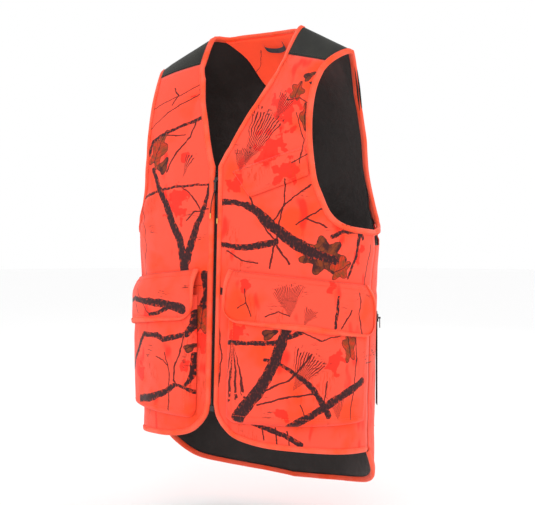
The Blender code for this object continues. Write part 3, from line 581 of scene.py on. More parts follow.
def onHalf(side, shape, lift, mirror=1):
    return lambda u, v: lifted(side, *shape(u, v), lift, mirror)


def halfPattern(shape, mirror=1):
    def at(u, v):
        p, h = shape(u, v)
        return p * mirror, h + body["chestZ"]

    return at


def bothHalves(side, shape, lift):
    def place(u, v):
        half = 2 * u - 1
        return lifted(side, *shape(abs(half), v), lift, 1 if half >= 0 else -1)

    return place


def bothPattern(shape):
    def at(u, v):
        half = 2 * u - 1
        p, h = shape(abs(half), v)
        return (p if half >= 0 else -p), h + body["chestZ"]

    return at


def stacked(lower, upper, share):
    return lambda u, v: lower(u, v / share) if v <= share else upper(u, (v - share) / (1 - share))


# folded tape that binds the raw edges: inset from the edge, and lift
tapeFold = [(0.0085, 0.0006), (0.0078, 0.0013), (0.0045, 0.0018), (0.0014, 0.0014), (-0.0002, 0.0),
            (-0.0007, -0.0018), (-0.0002, -0.0036), (0.0014, -0.0050), (0.0045, -0.0056), (0.0078, -0.0054),
            (0.0085, -0.0050)]


def runPoints(runs, spacing):
    # each run is (side, route, sign of the inset, start, end, mirror)
    spots = []
    for side, route, sign, start, end, mirror in runs:
        count = max(2, round(route.lengths[-1] * abs(end - start) / spacing))
        for k in range(count + 1):
            if k == 0 and spots:
                continue
            spots.append((side, route, sign, between(start, end, k / count), mirror))
    return spots


def spotAt(spot, inset, lift):
    side, route, sign, share, mirror = spot
    return lifted(side, *route.at(share, inset * sign), lift, mirror)


def binding(name, runs, material, rides, replaces, fold=tapeFold, spacing=0.006, closed=False):
    spots = runPoints(runs, spacing)
    if closed:
        spots[-1] = spots[0]
    distance = [0.0]
    for a, b in zip(spots, spots[1:]):
        distance.append(distance[-1] + (spotAt(a, 0, 0) - spotAt(b, 0, 0)).length)
    columns, rows = len(spots) - 1, len(fold) - 1

    def place(u, v):
        spot = spots[round(u * columns)]
        return spotAt(spot, *fold[round(v * rows)])

    def pattern(u, v):
        return distance[round(u * columns)], v * 0.03

    return tapePiece(name, columns, rows, place, pattern, material, rides, replaces, closed)


def tapePiece(name, columns, rows, place, pattern, material, rides, replaces, closed):
    bm = bmesh.new()
    bmesh.ops.create_grid(bm, x_segments=columns, y_segments=rows, size=0.5)
    share = {v: (v.co.x + 0.5, v.co.y + 0.5) for v in bm.verts}
    layer = bm.loops.layers.uv.new("cloth")
    for face in bm.faces:
        for loop in face.loops:
            loop[layer].uv = pattern(*share[loop.vert])
    for vertex in bm.verts:
        vertex.co = place(*share[vertex])
    if closed:
        bmesh.ops.remove_doubles(bm, verts=bm.verts, dist=0.00005)
    bm.normal_update()
    # the middle rows of the fold face away from the middle of the tape
    low = place(0.5, 0.5)
    inside = (place(0.5, 0.0) + place(0.5, 1.0)) / 2
    near = min(bm.faces, key=lambda face: (face.calc_center_median() - low).length)
    if near.normal.dot(low - inside) < 0:
        bmesh.ops.reverse_faces(bm, faces=bm.faces)
    area = sum(face.calc_area() for face in bm.faces)
    piece = newPiece(name, bm, material, rides, replaces)
    solidify = piece.modifiers.new("thickness", "SOLIDIFY")
    solidify.thickness = 0.0006
    solidify.offset = -1
    solidify.use_even_offset = False
    length = sum((place(k / columns, 0.5) - place((k + 1) / columns, 0.5)).length for k in range(columns))
    max(area / length, 0.01)
    flatSizes.append(f"{name}: tape {area / length * 1000:.0f} x {length * 1000:.0f} mm")
    return piece


# rows of stitches, each a small raised thread
thread = {"long": 0.0030, "gap": 0.0012, "wide": 0.00055, "high": 0.00035}


def stitches(name, points, material, rides):
    bm = bmesh.new()
    reach, goal = 0.0, 0.0
    for (a, normalA), (b, normalB) in zip(points, points[1:]):
        gap = (b - a).length
        if gap < 1e-6:
            continue
        while goal < reach + gap:
            t = (goal - reach) / gap
            along = (b - a).normalized()
            up = (normalA * (1 - t) + normalB * t).normalized()
            aside = along.cross(up).normalized()
            up = aside.cross(along)
            turn = Matrix((aside, along, up)).transposed().to_4x4()
            size = Matrix.Diagonal((thread["wide"], thread["long"], thread["high"], 1))
            at = Matrix.Translation(a.lerp(b, t) + up * thread["high"] * 0.3)
            bmesh.ops.create_cube(bm, size=1.0, matrix=at @ turn @ size)
            goal += thread["long"] + thread["gap"]
        reach += gap
    return newPiece(name, bm, material, rides)


def seamPoints(spots, inset, lift):
    line = []
    for spot in spots:
        point = spotAt(spot, inset, lift)
        line.append((point, (spotAt(spot, inset, lift + 0.002) - point).normalized()))
    return line


def mapPoints(place, spots):
    # points of a place(u, v) map with their normals
    line = []
    for u, v in spots:
        point = place(u, v)
        step = 0.01
        along = place(min(u + step, 1), v) - place(max(u - step, 0), v)
        up = place(u, min(v + step, 1)) - place(u, max(v - step, 0))
        normal = along.cross(up).normalized()
        if normal.dot(point * Vector((1, 1, 0))) < 0:
            normal = -normal
        line.append((point + normal * 0.0001, normal))
    return line


# finishes; colours are linear
colours = {
    "blaze": (1.0, 0.082, 0.043),
    "blazeDeep": (1.0, 0.060, 0.013),
    "red": (1.0, 0.013, 0.004),
    "binding": (1.0, 0.115, 0.060),
    "bindingDeep": (1.0, 0.075, 0.015),
    "bark": (0.034, 0.008, 0.010),
    "barkWarm": (0.26, 0.030, 0.016),
    "leaf": (0.27, 0.045, 0.008),
    "leafRed": (0.62, 0.030, 0.004),
    "needle": (0.10, 0.010, 0.008),
    "black": (0.016, 0.016, 0.014),
    "lining": (0.018, 0.0115, 0.010),
}


def weave(wire, shader, place, pitch, depth, crease=0.0):
    turns = 2 * math.pi / pitch
    across = wire.node("ShaderNodeSeparateXYZ", {}, {0: place}, 0)
    up = wire.node("ShaderNodeSeparateXYZ", {}, {0: place}, 1)
    height = wire.maths("SINE", across * turns) * wire.maths("SINE", up * turns) * depth
    if crease:
        height = height + wire.noise(place, 30.0, 4.0) * crease
    feed(wire, shader, "Normal", wire.node("ShaderNodeBump", {}, {"Height": height, "Distance": 1.0}))
    return height


def rod(wire, place, a, b, startRadius, endRadius):
    # how far a spot is from a tapering bar of the print
    run = (b[0] - a[0], b[1] - a[1], 0)
    size = run[0] ** 2 + run[1] ** 2
    offset = wire.node("ShaderNodeVectorMath", {"operation": "SUBTRACT"}, {0: place, 1: (*a, 0)})
    share = wire.dot(offset, [c / size for c in run]).high(0.0).low(1.0)
    nearest = wire.node("ShaderNodeVectorMath", {"operation": "SCALE"}, {0: run, "Scale": share})
    away = wire.node("ShaderNodeVectorMath", {"operation": "DISTANCE"}, {0: offset, 1: nearest}, 1)
    if startRadius == endRadius:
        return away - startRadius
    return away - wire.node("ShaderNodeMath", {"operation": "MULTIPLY_ADD"},
                            {0: share, 1: endRadius - startRadius, 2: startRadius})


def branches(wire, place, lines, stout=1.0):
    # each line is (radius at its start, radius at its end, points)
    nearest = None
    for startRadius, endRadius, points in lines:
        for k, (a, b) in enumerate(zip(points, points[1:])):
            middle = round((between(startRadius, endRadius, (k + 0.5) / (len(points) - 1))), 5)
            radii = (middle, middle)
            if startRadius > 0.002 or endRadius > 0.002:
                radii = [between(startRadius, endRadius, j / (len(points) - 1)) for j in (k, k + 1)]
            bar = rod(wire, place, a, b, *[radius * stout for radius in radii])
            nearest = bar if nearest is None else nearest.low(bar)
    return nearest


def leafShape(wire, place, centre, turn, length, width, lobes):
    c, s = math.cos(math.radians(turn)), math.sin(math.radians(turn))
    along = wire.dot(place, (c / length, s / length, 0)) - (centre[0] * c + centre[1] * s) / length
    aside = wire.dot(place, (-s / width, c / width, 0)) - (centre[1] * c - centre[0] * s) / width
    reach = wire.maths("SQRT", along * along + aside * aside)
    wave = wire.maths("COSINE", wire.maths("ARCTAN2", aside, along) * lobes)
    edge = (reach + wave * -0.20 + 0.20 - 1.0) * min(length, width)
    vein = wire.maths("ABSOLUTE", aside) * width
    ribs = wire.maths("SINE", along * 26.0 + wire.maths("ABSOLUTE", aside) * -14.0)
    return edge, vein, ribs


def needleFan(wire, place, base, turn, spread, length, count):
    c, s = math.cos(math.radians(turn)), math.sin(math.radians(turn))
    along = wire.dot(place, (c, s, 0)) - (base[0] * c + base[1] * s)
    aside = wire.dot(place, (-s, c, 0)) - (base[1] * c - base[0] * s)
    angle = wire.maths("ARCTAN2", aside, along)
    reach = wire.maths("SQRT", along * along + aside * aside)
    bend = wire.noise(place, 42.0, 1.0) * 3.4
    stripes = wire.maths("SINE", angle * (1.5 * count) + bend * 1.6 + reach * 60.0)
    inside = wire.maths("ABSOLUTE", angle).step(math.radians(spread), math.radians(spread) * 0.8)
    ragged = wire.noise(place, 160.0, 1.0) * 0.5 + 0.55
    return inside * (reach / ragged).step(length, length * 0.92) * stripes.step(-0.05, 0.45)


def camoCloth(name, limbs, twigs, leaves=(), fans=(), splashes=(), plainBelow=0.0, tone="blaze"):
    material, shader, wire, place = newMaterial(name, 0.72, sheen=0.12)
    wander = wire.noise(place, 55.0, 3.0, 0.6, 1)
    wander = wire.node("ShaderNodeVectorMath", {"operation": "MULTIPLY_ADD"},
                       {0: wander, 1: (0.0075, 0.0075, 0), 2: (-0.00375, -0.00375, 0)})
    loose = wire.node("ShaderNodeVectorMath", {"operation": "ADD"}, {0: place, 1: wander})
    flat = wire.node("ShaderNodeVectorMath", {"operation": "MULTIPLY"}, {0: loose, 1: (1, 1, 0)})
    clouds = wire.noise(place, 9.0, 3.0, 0.6)
    colour = clouds.step(0.48, 0.66).mix((*colours[tone], 1), (*colours["blazeDeep"], 1))
    smear = wire.noise(wire.stretch(place, (1.6, 0.75, 1)), 17.0, 2.0, 0.55)
    colour = (smear.step(0.60, 0.70) * 0.75).mix(colour, (*colours["red"], 1))
    for centre, size in splashes:
        away = wire.node("ShaderNodeVectorMath", {"operation": "DISTANCE"}, {0: flat, 1: (*centre, 0)}, 1)
        ragged = away + (wire.noise(place, 62.0, 2.0, 0.45) - 0.5) * (size * 4.2)
        colour = (ragged.step(size * 1.02, size * 0.86) * 0.8).mix(colour, (*colours["red"], 1))
    # thin strokes gathered in patches, like far-off needles and stems
    patch = wire.noise(wire.stretch(flat, (1.2, 0.8, 1)), 15.0, 2.0, 0.5).step(0.55, 0.66)
    strokes = wire.noise(wire.stretch(loose, (1, 0.14, 1)), 430.0, 2.0, 0.6).step(0.53, 0.60)
    colour = (patch * strokes * 0.62).mix(colour, (*colours["leafRed"], 1))
    patch = wire.noise(wire.stretch(flat, (0.8, 1.1, 1)), 19.0, 2.0, 0.5).step(0.61, 0.70)
    strokes = wire.noise(wire.stretch(loose, (0.16, 1, 1)), 380.0, 2.0, 0.6).step(0.54, 0.61)
    colour = (patch * strokes * 0.85).mix(colour, (*colours["needle"], 1))
    for centre, turn, length, width, lobes, dark in leaves:
        edge, vein, ribs = leafShape(wire, flat, centre, turn, length, width, lobes)
        skin = wire.noise(place, 90.0, 3.0).step(0.35, 0.65)
        tint = skin.mix((*colours["leafRed"], 1), (*colours["leaf"], 1))
        if dark:
            tint = (skin * 0.8 + 0.1).mix((*colours["leaf"], 1), (*colours["bark"], 1))
        tint = (vein.step(0.0011, 0.0004).high(ribs.step(0.90, 0.98) * 0.6)).mix(tint, (*colours["bark"], 1))
        colour = edge.step(0.0008, -0.0004).mix(colour, tint)
        rim = wire.maths("ABSOLUTE", edge).step(0.0009, 0.0003)
        colour = (rim * 0.8).mix(colour, (*colours["bark"], 1))
    if twigs:
        twig = branches(wire, flat, twigs)
        colour = twig.step(0.0004, -0.0002).mix(colour, (*colours["needle"], 1))
    for base, turn, spread, length, count in fans:
        colour = needleFan(wire, flat, base, turn, spread, length, count).mix(colour, (*colours["needle"], 1))
    if limbs:
        limb = branches(wire, flat, limbs, 1.3)
        grain = wire.noise(wire.stretch(place, (1.3, 0.8, 1)), 210.0, 4.0, 0.65)
        deep = limb.step(-0.0014, -0.0050)
        bark = (grain.step(0.52, 0.60) * (1 - deep * 0.72)).mix((*colours["bark"], 1), (*colours["barkWarm"], 1))
        bark = ((grain * 1.15 - deep * 0.30).step(0.60, 0.68) * 0.85).mix(bark, (*colours["leafRed"], 1))
        colour = limb.step(0.0005, -0.0003).mix(colour, bark)
    if plainBelow:
        across = wire.maths("ABSOLUTE", wire.node("ShaderNodeSeparateXYZ", {}, {0: place}, 0))
        colour = across.step(plainBelow + 0.0002, plainBelow - 0.0002).mix(colour, (*colours["binding"], 1))
    feed(wire, shader, "Base Color", colour)
    feed(wire, shader, "Roughness", clouds * 0.16 + 0.62)
    weave(wire, shader, place, 0.0011, 0.00004, 0.0006)
    return material


def plainCloth(name, main, second, roughness, pitch, depth, crease, sheen=0.1, spots=24.0, onObject=False):
    material, shader, wire, place = newMaterial(name, roughness, sheen=sheen, onObject=onObject)
    tone = wire.noise(place, spots, 4.0, 0.6)
    colour = tone.step(0.35, 0.70).mix((*main, 1), (*second, 1))
    feed(wire, shader, "Base Color", colour)
    feed(wire, shader, "Roughness", tone * 0.2 + (roughness - 0.1))
    weave(wire, shader, place, pitch, depth, crease)
    return material


def metal(name, colour, roughness, metallic=1.0):
    material = bpy.data.materials.new(name)
    material.use_nodes = True
    shader = material.node_tree.nodes["Principled BSDF"]
    shader.inputs["Metallic"].default_value = metallic
    wire = Wire(material.node_tree)
    place = wire.node("ShaderNodeTexCoord", {}, {}, 3)
    rub = wire.noise(place, 420.0, 4.0, 0.6)
    worn = rub.step(0.55, 0.72) * 0.5
    feed(wire, shader, "Base Color", worn.mix((*colour, 1), (*[min(1, 2.2 * c + 0.02) for c in colour], 1)))
    feed(wire, shader, "Roughness", rub * 0.25 + (roughness - 0.1))
    feed(wire, shader, "Normal", wire.node("ShaderNodeBump", {}, {"Height": rub * 0.00006, "Distance": 1.0}))
    return material


# the print: branches are (start radius, end radius, points), in metres of cloth and height
frontLeftPrint = {
    "limbs": [
        (0.0036, 0.0030, [(0.004, -0.262), (0.032, -0.263), (0.052, -0.268)]),
        (0.0044, 0.0075, [(0.050, -0.267), (0.066, -0.278), (0.091, -0.300), (0.119, -0.321), (0.158, -0.341)]),
        (0.0060, 0.0048, [(0.158, -0.341), (0.20, -0.352)]),
        (0.0030, 0.0042, [(0.004, -0.326), (0.041, -0.332), (0.066, -0.331), (0.096, -0.324)]),
        (0.0026, 0.0030, [(0.191, -0.317), (0.217, -0.308), (0.252, -0.309), (0.262, -0.318)]),
        (0.0030, 0.0020, [(0.252, -0.309), (0.249, -0.344), (0.231, -0.379)]),
        (0.0050, 0.0026, [(0.006, -0.398), (0.020, -0.402), (0.034, -0.398)]),
        (0.0024, 0.0034, [(0.033, -0.588), (0.072, -0.598), (0.120, -0.613), (0.152, -0.627)]),
    ],
    "twigs": [
        (0.0011, 0.0014, [(0.111, -0.230), (0.108, -0.261), (0.099, -0.314), (0.089, -0.362)]),
        (0.0010, 0.0015, [(0.152, -0.238), (0.110, -0.266), (0.088, -0.298)]),
        (0.0009, 0.0016, [(0.055, -0.255), (0.067, -0.285), (0.095, -0.323), (0.120, -0.358)]),
        (0.0009, 0.0015, [(0.175, -0.272), (0.128, -0.298)]),
        (0.0014, 0.0010, [(0.146, -0.290), (0.182, -0.302)]),
        (0.0012, 0.0008, [(0.020, -0.338), (0.045, -0.352), (0.070, -0.356)]),
        (0.0009, 0.0012, [(0.205, -0.245), (0.222, -0.280), (0.217, -0.308)]),
        (0.0008, 0.0008, [(0.125, -0.120), (0.139, -0.165), (0.133, -0.205)]),
        (0.0008, 0.0008, [(0.120, -0.205), (0.142, -0.192), (0.160, -0.175)]),
        (0.0008, 0.0009, [(0.103, -0.100), (0.128, -0.093), (0.150, -0.105)]),
        (0.0012, 0.0010, [(0.108, -0.603), (0.111, -0.628)]),
        (0.0010, 0.0010, [(0.128, -0.608), (0.133, -0.632)]),
        (0.0011, 0.0008, [(0.085, -0.600), (0.090, -0.622)]),
        (0.0008, 0.0011, [(0.008, -0.440), (0.016, -0.500), (0.010, -0.556)]),
        (0.0008, 0.0010, [(0.262, -0.400), (0.258, -0.470), (0.270, -0.560)]),
        (0.0008, 0.0011, [(0.285, -0.330), (0.272, -0.420)]),
    ],
    "leaves": [
        ((0.178, -0.345), -8, 0.046, 0.030, 7, True),
        ((0.213, -0.364), 20, 0.024, 0.019, 5, False),
        ((0.135, -0.052), 40, 0.015, 0.007, 3, True),
        ((0.152, -0.066), 160, 0.013, 0.006, 3, True),
        ((0.119, -0.082), 75, 0.019, 0.014, 5, False),
        ((0.140, -0.125), 95, 0.024, 0.010, 4, False),
    ],
    "fans": [
        ((0.046, -0.208), 72, 24, 0.115, 60),
        ((0.038, -0.215), 82, 34, 0.045, 50),
        ((0.086, -0.135), 68, 26, 0.060, 46),
    ],
    "splashes": [((0.105, -0.115), 0.026), ((0.085, -0.180), 0.022), ((0.110, -0.215), 0.020),
                 ((0.255, -0.345), 0.010), ((0.030, -0.235), 0.012)],
    "plainBelow": 0.0095,
}
frontRightPrint = {
    "limbs": [
        (0.0034, 0.0066, [(-0.130, -0.206), (-0.113, -0.237), (-0.094, -0.264), (-0.080, -0.292), (-0.063, -0.320),
                          (-0.055, -0.352), (-0.052, -0.390)]),
        (0.0012, 0.0060, [(-0.009, -0.222), (-0.016, -0.262), (-0.031, -0.298), (-0.040, -0.325),
                          (-0.049, -0.352)]),
        (0.0024, 0.0021, [(-0.024, -0.124), (-0.046, -0.131), (-0.070, -0.135), (-0.104, -0.143)]),
        (0.0022, 0.0030, [(-0.104, -0.143), (-0.135, -0.152), (-0.142, -0.175)]),
        (0.0019, 0.0012, [(-0.285, -0.256), (-0.165, -0.252), (-0.108, -0.240), (-0.068, -0.235), (-0.040, -0.234),
                          (-0.010, -0.234)]),
        (0.0016, 0.0030, [(-0.062, -0.076), (-0.050, -0.084), (-0.038, -0.090), (-0.029, -0.099)]),
        (0.0050, 0.0040, [(-0.016, -0.375), (-0.012, -0.400), (-0.018, -0.425)]),
    ],
    "twigs": [
        (0.0012, 0.0016, [(-0.050, -0.132), (-0.056, -0.158), (-0.079, -0.185), (-0.096, -0.210)]),
        (0.0007, 0.0010, [(-0.150, -0.130), (-0.110, -0.108), (-0.060, -0.085)]),
        (0.0007, 0.0010, [(-0.145, -0.086), (-0.090, -0.078), (-0.052, -0.060), (-0.025, -0.052)]),
        (0.0009, 0.0012, [(-0.060, -0.236), (-0.040, -0.252), (-0.026, -0.272)]),
        (0.0008, 0.0010, [(-0.012, -0.272), (-0.036, -0.276), (-0.050, -0.290)]),
        (0.0010, 0.0008, [(-0.098, -0.146), (-0.080, -0.152), (-0.066, -0.153)]),
        (0.0010, 0.0009, [(-0.170, -0.255), (-0.158, -0.320), (-0.163, -0.380)]),
        (0.0009, 0.0009, [(-0.225, -0.250), (-0.205, -0.330), (-0.200, -0.420)]),
        (0.0009, 0.0010, [(-0.105, -0.060), (-0.093, -0.078), (-0.100, -0.092)]),
        (0.0009, 0.0009, [(-0.250, -0.420), (-0.235, -0.500), (-0.255, -0.590)]),
    ],
    "leaves": [
        ((-0.118, -0.172), 62, 0.038, 0.021, 5, False),
        ((-0.105, -0.200), 50, 0.018, 0.012, 3, True),
        ((-0.020, -0.440), 85, 0.032, 0.016, 5, False),
    ],
    "fans": [((-0.060, -0.222), 70, 16, 0.050, 30)],
    "splashes": [((-0.045, -0.075), 0.016), ((-0.070, -0.262), 0.022), ((-0.020, -0.478), 0.020),
                 ((-0.060, -0.190), 0.008)],
    "plainBelow": 0.0095,
}
flapLeftPrint = {
    "limbs": [(0.0016, 0.0022, [(0.205, -0.405), (0.203, -0.425), (0.201, -0.450)])],
    "twigs": [
        (0.0012, 0.0010, [(0.229, -0.425), (0.220, -0.440), (0.212, -0.452)]),
        (0.0007, 0.0009, [(0.060, -0.395), (0.062, -0.415), (0.070, -0.436)]),
        (0.0007, 0.0008, [(0.062, -0.415), (0.050, -0.425)]),
        (0.0008, 0.0008, [(0.092, -0.436), (0.112, -0.428), (0.128, -0.434)]),
        (0.0009, 0.0009, [(0.250, -0.400), (0.243, -0.430), (0.252, -0.462)]),
    ],
    "fans": [((0.128, -0.436), 96, 34, 0.062, 74), ((0.150, -0.448), 60, 30, 0.036, 40)],
    "splashes": [((0.060, -0.392), 0.009), ((0.190, -0.392), 0.008)],
}
flapRightPrint = {
    "limbs": [
        (0.0045, 0.0028, [(-0.286, -0.470), (-0.230, -0.430), (-0.168, -0.418)]),
        (0.0030, 0.0062, [(-0.168, -0.418), (-0.118, -0.421), (-0.078, -0.423), (-0.045, -0.430)]),
        (0.0022, 0.0030, [(-0.112, -0.441), (-0.090, -0.437), (-0.070, -0.428)]),
    ],
    "twigs": [
        (0.0007, 0.0009, [(-0.170, -0.380), (-0.160, -0.402), (-0.120, -0.436), (-0.112, -0.441)]),
        (0.0008, 0.0008, [(-0.165, -0.420), (-0.150, -0.442)]),
    ],
    "splashes": [((-0.220, -0.400), 0.010)],
}
pocketLeftPrint = {
    "limbs": [
        (0.0060, 0.0074, [(0.128, -0.440), (0.107, -0.507), (0.088, -0.542), (0.052, -0.588)]),
        (0.0024, 0.0030, [(0.034, -0.478), (0.106, -0.475), (0.148, -0.458)]),
        (0.0020, 0.0038, [(0.092, -0.500), (0.121, -0.508), (0.153, -0.527), (0.175, -0.550), (0.196, -0.582)]),
        (0.0048, 0.0042, [(0.130, -0.602), (0.160, -0.585), (0.217, -0.554), (0.262, -0.534)]),
    ],
    "twigs": [
        (0.0012, 0.0014, [(0.088, -0.548), (0.130, -0.531), (0.165, -0.490)]),
        (0.0013, 0.0012, [(0.083, -0.568), (0.115, -0.558), (0.176, -0.548)]),
        (0.0010, 0.0008, [(0.150, -0.458), (0.180, -0.470), (0.215, -0.462)]),
        (0.0009, 0.0010, [(0.196, -0.582), (0.188, -0.560), (0.192, -0.530)]),
        (0.0009, 0.0009, [(0.240, -0.440), (0.246, -0.500), (0.238, -0.590)]),
        (0.0009, 0.0009, [(0.158, -0.586), (0.150, -0.565)]),
    ],
    "leaves": [((0.230, -0.480), 100, 0.026, 0.014, 5, False), ((0.098, -0.462), 20, 0.014, 0.008, 3, True)],
    "fans": [((0.040, -0.470), -84, 15, 0.118, 30), ((0.138, -0.545), 62, 30, 0.080, 56),
             ((0.215, -0.590), 100, 28, 0.05, 44)],
    "splashes": [((0.052, -0.462), 0.012), ((0.205, -0.500), 0.016), ((0.120, -0.580), 0.012)],
}
pocketRightPrint = {
    "limbs": [
        (0.0030, 0.0034, [(-0.230, -0.560), (-0.165, -0.510), (-0.135, -0.474), (-0.100, -0.474)]),
        (0.0034, 0.0030, [(-0.100, -0.474), (-0.084, -0.480), (-0.060, -0.474), (-0.038, -0.470)]),
        (0.0034, 0.0042, [(-0.038, -0.470), (-0.029, -0.455), (-0.026, -0.435)]),
        (0.0024, 0.0024, [(-0.029, -0.500), (-0.029, -0.525), (-0.034, -0.542), (-0.040, -0.550)]),
        (0.0052, 0.0028, [(-0.160, -0.583), (-0.115, -0.575), (-0.080, -0.563), (-0.058, -0.549)]),
        (0.0022, 0.0018, [(-0.058, -0.549), (-0.038, -0.552), (-0.027, -0.560)]),
    ],
    "twigs": [
        (0.0012, 0.0016, [(-0.042, -0.470), (-0.048, -0.495), (-0.060, -0.522), (-0.062, -0.542),
                          (-0.056, -0.549)]),
        (0.0008, 0.0010, [(-0.080, -0.500), (-0.070, -0.530), (-0.072, -0.590)]),
        (0.0007, 0.0008, [(-0.100, -0.508), (-0.082, -0.512), (-0.074, -0.520)]),
    ],
    "leaves": [((-0.034, -0.490), 30, 0.010, 0.007, 3, True)],
    "splashes": [((-0.042, -0.520), 0.009), ((-0.150, -0.540), 0.014)],
}


def strewnPrint(seed, low, high, count):
    # a print of the same kind, strewn over an area that the front view hides
    pick = random.Random(seed)
    limbs, twigs, leaves, fans, splashes = [], [], [], [], []
    for k in range(count):
        x, z = pick.uniform(low[0], high[0]), between(low[1], high[1], (k + 0.5) / count)
        turn = math.radians(pick.choice((-1, 1)) * pick.uniform(25, 80) + pick.choice((0, 180)))
        points = [(x, z)]
        for step in range(4):
            turn += math.radians(pick.uniform(-16, 16))
            x, z = x + 0.052 * math.cos(turn), z + 0.052 * math.sin(turn)
            points.append((x, z))
        limbs.append((pick.uniform(0.0020, 0.0048), pick.uniform(0.0035, 0.0075), points))
        for spot in points[1:4:2]:
            lean = turn + math.radians(pick.choice((-1, 1)) * pick.uniform(30, 60))
            mid = (spot[0] + 0.035 * math.cos(lean), spot[1] + 0.035 * math.sin(lean))
            lean += math.radians(pick.uniform(-25, 25))
            tip = (mid[0] + 0.04 * math.cos(lean), mid[1] + 0.04 * math.sin(lean))
            twigs.append((0.0014, 0.0008, [spot, mid, tip]))
        spot = points[pick.randrange(5)]
        if k % 2:
            leaves.append((spot, pick.uniform(0, 180), pick.uniform(0.018, 0.036), pick.uniform(0.012, 0.022),
                           pick.choice((3, 5, 7)), k % 4 == 1))
        else:
            fans.append((spot, pick.uniform(0, 360), pick.uniform(16, 30), pick.uniform(0.05, 0.09), 50))
        splashes.append(((pick.uniform(low[0], high[0]), pick.uniform(low[1], high[1])), pick.uniform(0.012, 0.026)))
    return {"limbs": limbs, "twigs": twigs, "leaves": leaves, "fans": fans, "splashes": splashes}


camo = {
    "frontLeft": camoCloth("camoFrontLeft", **frontLeftPrint),
    "frontRight": camoCloth("camoFrontRight", **frontRightPrint),
    "flapLeft": camoCloth("camoFlapLeft", **flapLeftPrint),
    "flapRight": camoCloth("camoFlapRight", **flapRightPrint),
    "pocketLeft": camoCloth("camoPocketLeft", **pocketLeftPrint),
    "pocketRight": camoCloth("camoPocketRight", **pocketRightPrint),
    "back": camoCloth("camoBack", **strewnPrint(5, (-0.27, -0.70), (0.27, -0.10), 9)),
    "game": camoCloth("camoGameBag", **strewnPrint(12, (-0.17, -0.62), (0.17, -0.44), 4)),
    "facing": camoCloth("camoFacing", limbs=[(0.0024, 0.0010, [(0.052, -0.012), (0.030, -0.018), (0.015, -0.010)])],
                        twigs=[(0.0007, 0.0007, [(-0.055, -0.030), (-0.040, -0.020), (-0.030, 0.0)])],
                        tone="blazeDeep"),
}
# painted light: a little emission makes the facing glow, so it stays bright in the shade deep in the neck
facingPaintedGlow = camo["facing"].node_tree.nodes["Principled BSDF"]
facingPaintedGlow.inputs["Emission Color"].default_value = (1.0, 0.10, 0.05, 1)
facingPaintedGlow.inputs["Emission Strength"].default_value = 0.35
bindingCloth = plainCloth("bindingTape", colours["binding"], colours["bindingDeep"], 0.62, 0.0016, 0.00007, 0.0002)
blackCloth = plainCloth("blackCloth", colours["black"], (0.026, 0.026, 0.021), 0.82, 0.0012, 0.00006, 0.0006)
liningCloth = plainCloth("liningSatin", colours["lining"], (0.030, 0.021, 0.019), 0.46, 0.0007, 0.00002, 0.0022,
                         0.25, 12.0)
tapeCloth = plainCloth("zipTape", (0.012, 0.011, 0.011), (0.020, 0.018, 0.018), 0.85, 0.0010, 0.00008, 0.0)
hookCloth = plainCloth("hookTape", (0.010, 0.010, 0.010), (0.022, 0.021, 0.021), 0.9, 0.0014, 0.00025, 0.0)
webbing = plainCloth("greyWebbing", (0.075, 0.068, 0.075), (0.11, 0.10, 0.11), 0.75, 0.0018, 0.00018, 0.0)
labelCloth = plainCloth("labelCloth", (0.88, 0.72, 0.66), (0.80, 0.62, 0.56), 0.6, 0.0008, 0.00003, 0.0003)
orangeThread = plainCloth("orangeThread", (0.86, 0.075, 0.030), (0.95, 0.12, 0.05), 0.6, 0.0006, 0.00005, 0.0,
                          onObject=True)
blackThread = plainCloth("blackThread", (0.030, 0.029, 0.027), (0.045, 0.043, 0.040), 0.6, 0.0006, 0.00005, 0.0,
                         onObject=True)
cordCloth = plainCloth("cordCloth", (0.014, 0.013, 0.013), (0.030, 0.028, 0.028), 0.8, 0.0009, 0.0001, 0.0,
                       onObject=True)
coilPlastic = metal("coilPlastic", (0.020, 0.018, 0.018), 0.42, 0.0)
darkMetal = metal("darkMetal", (0.060, 0.058, 0.060), 0.38)
brassMetal = metal("brass", (0.75, 0.47, 0.14), 0.30)
print("finishes made")

# zip pull cord, through the eye of the pull, with a brass tip on each end
zipPull = {"pivot": (0, -0.124144, -0.229428), "lean": math.atan(body["frontFlare"]), "length": 0.019,
           "drop": 0.050, "radius": 0.0007}


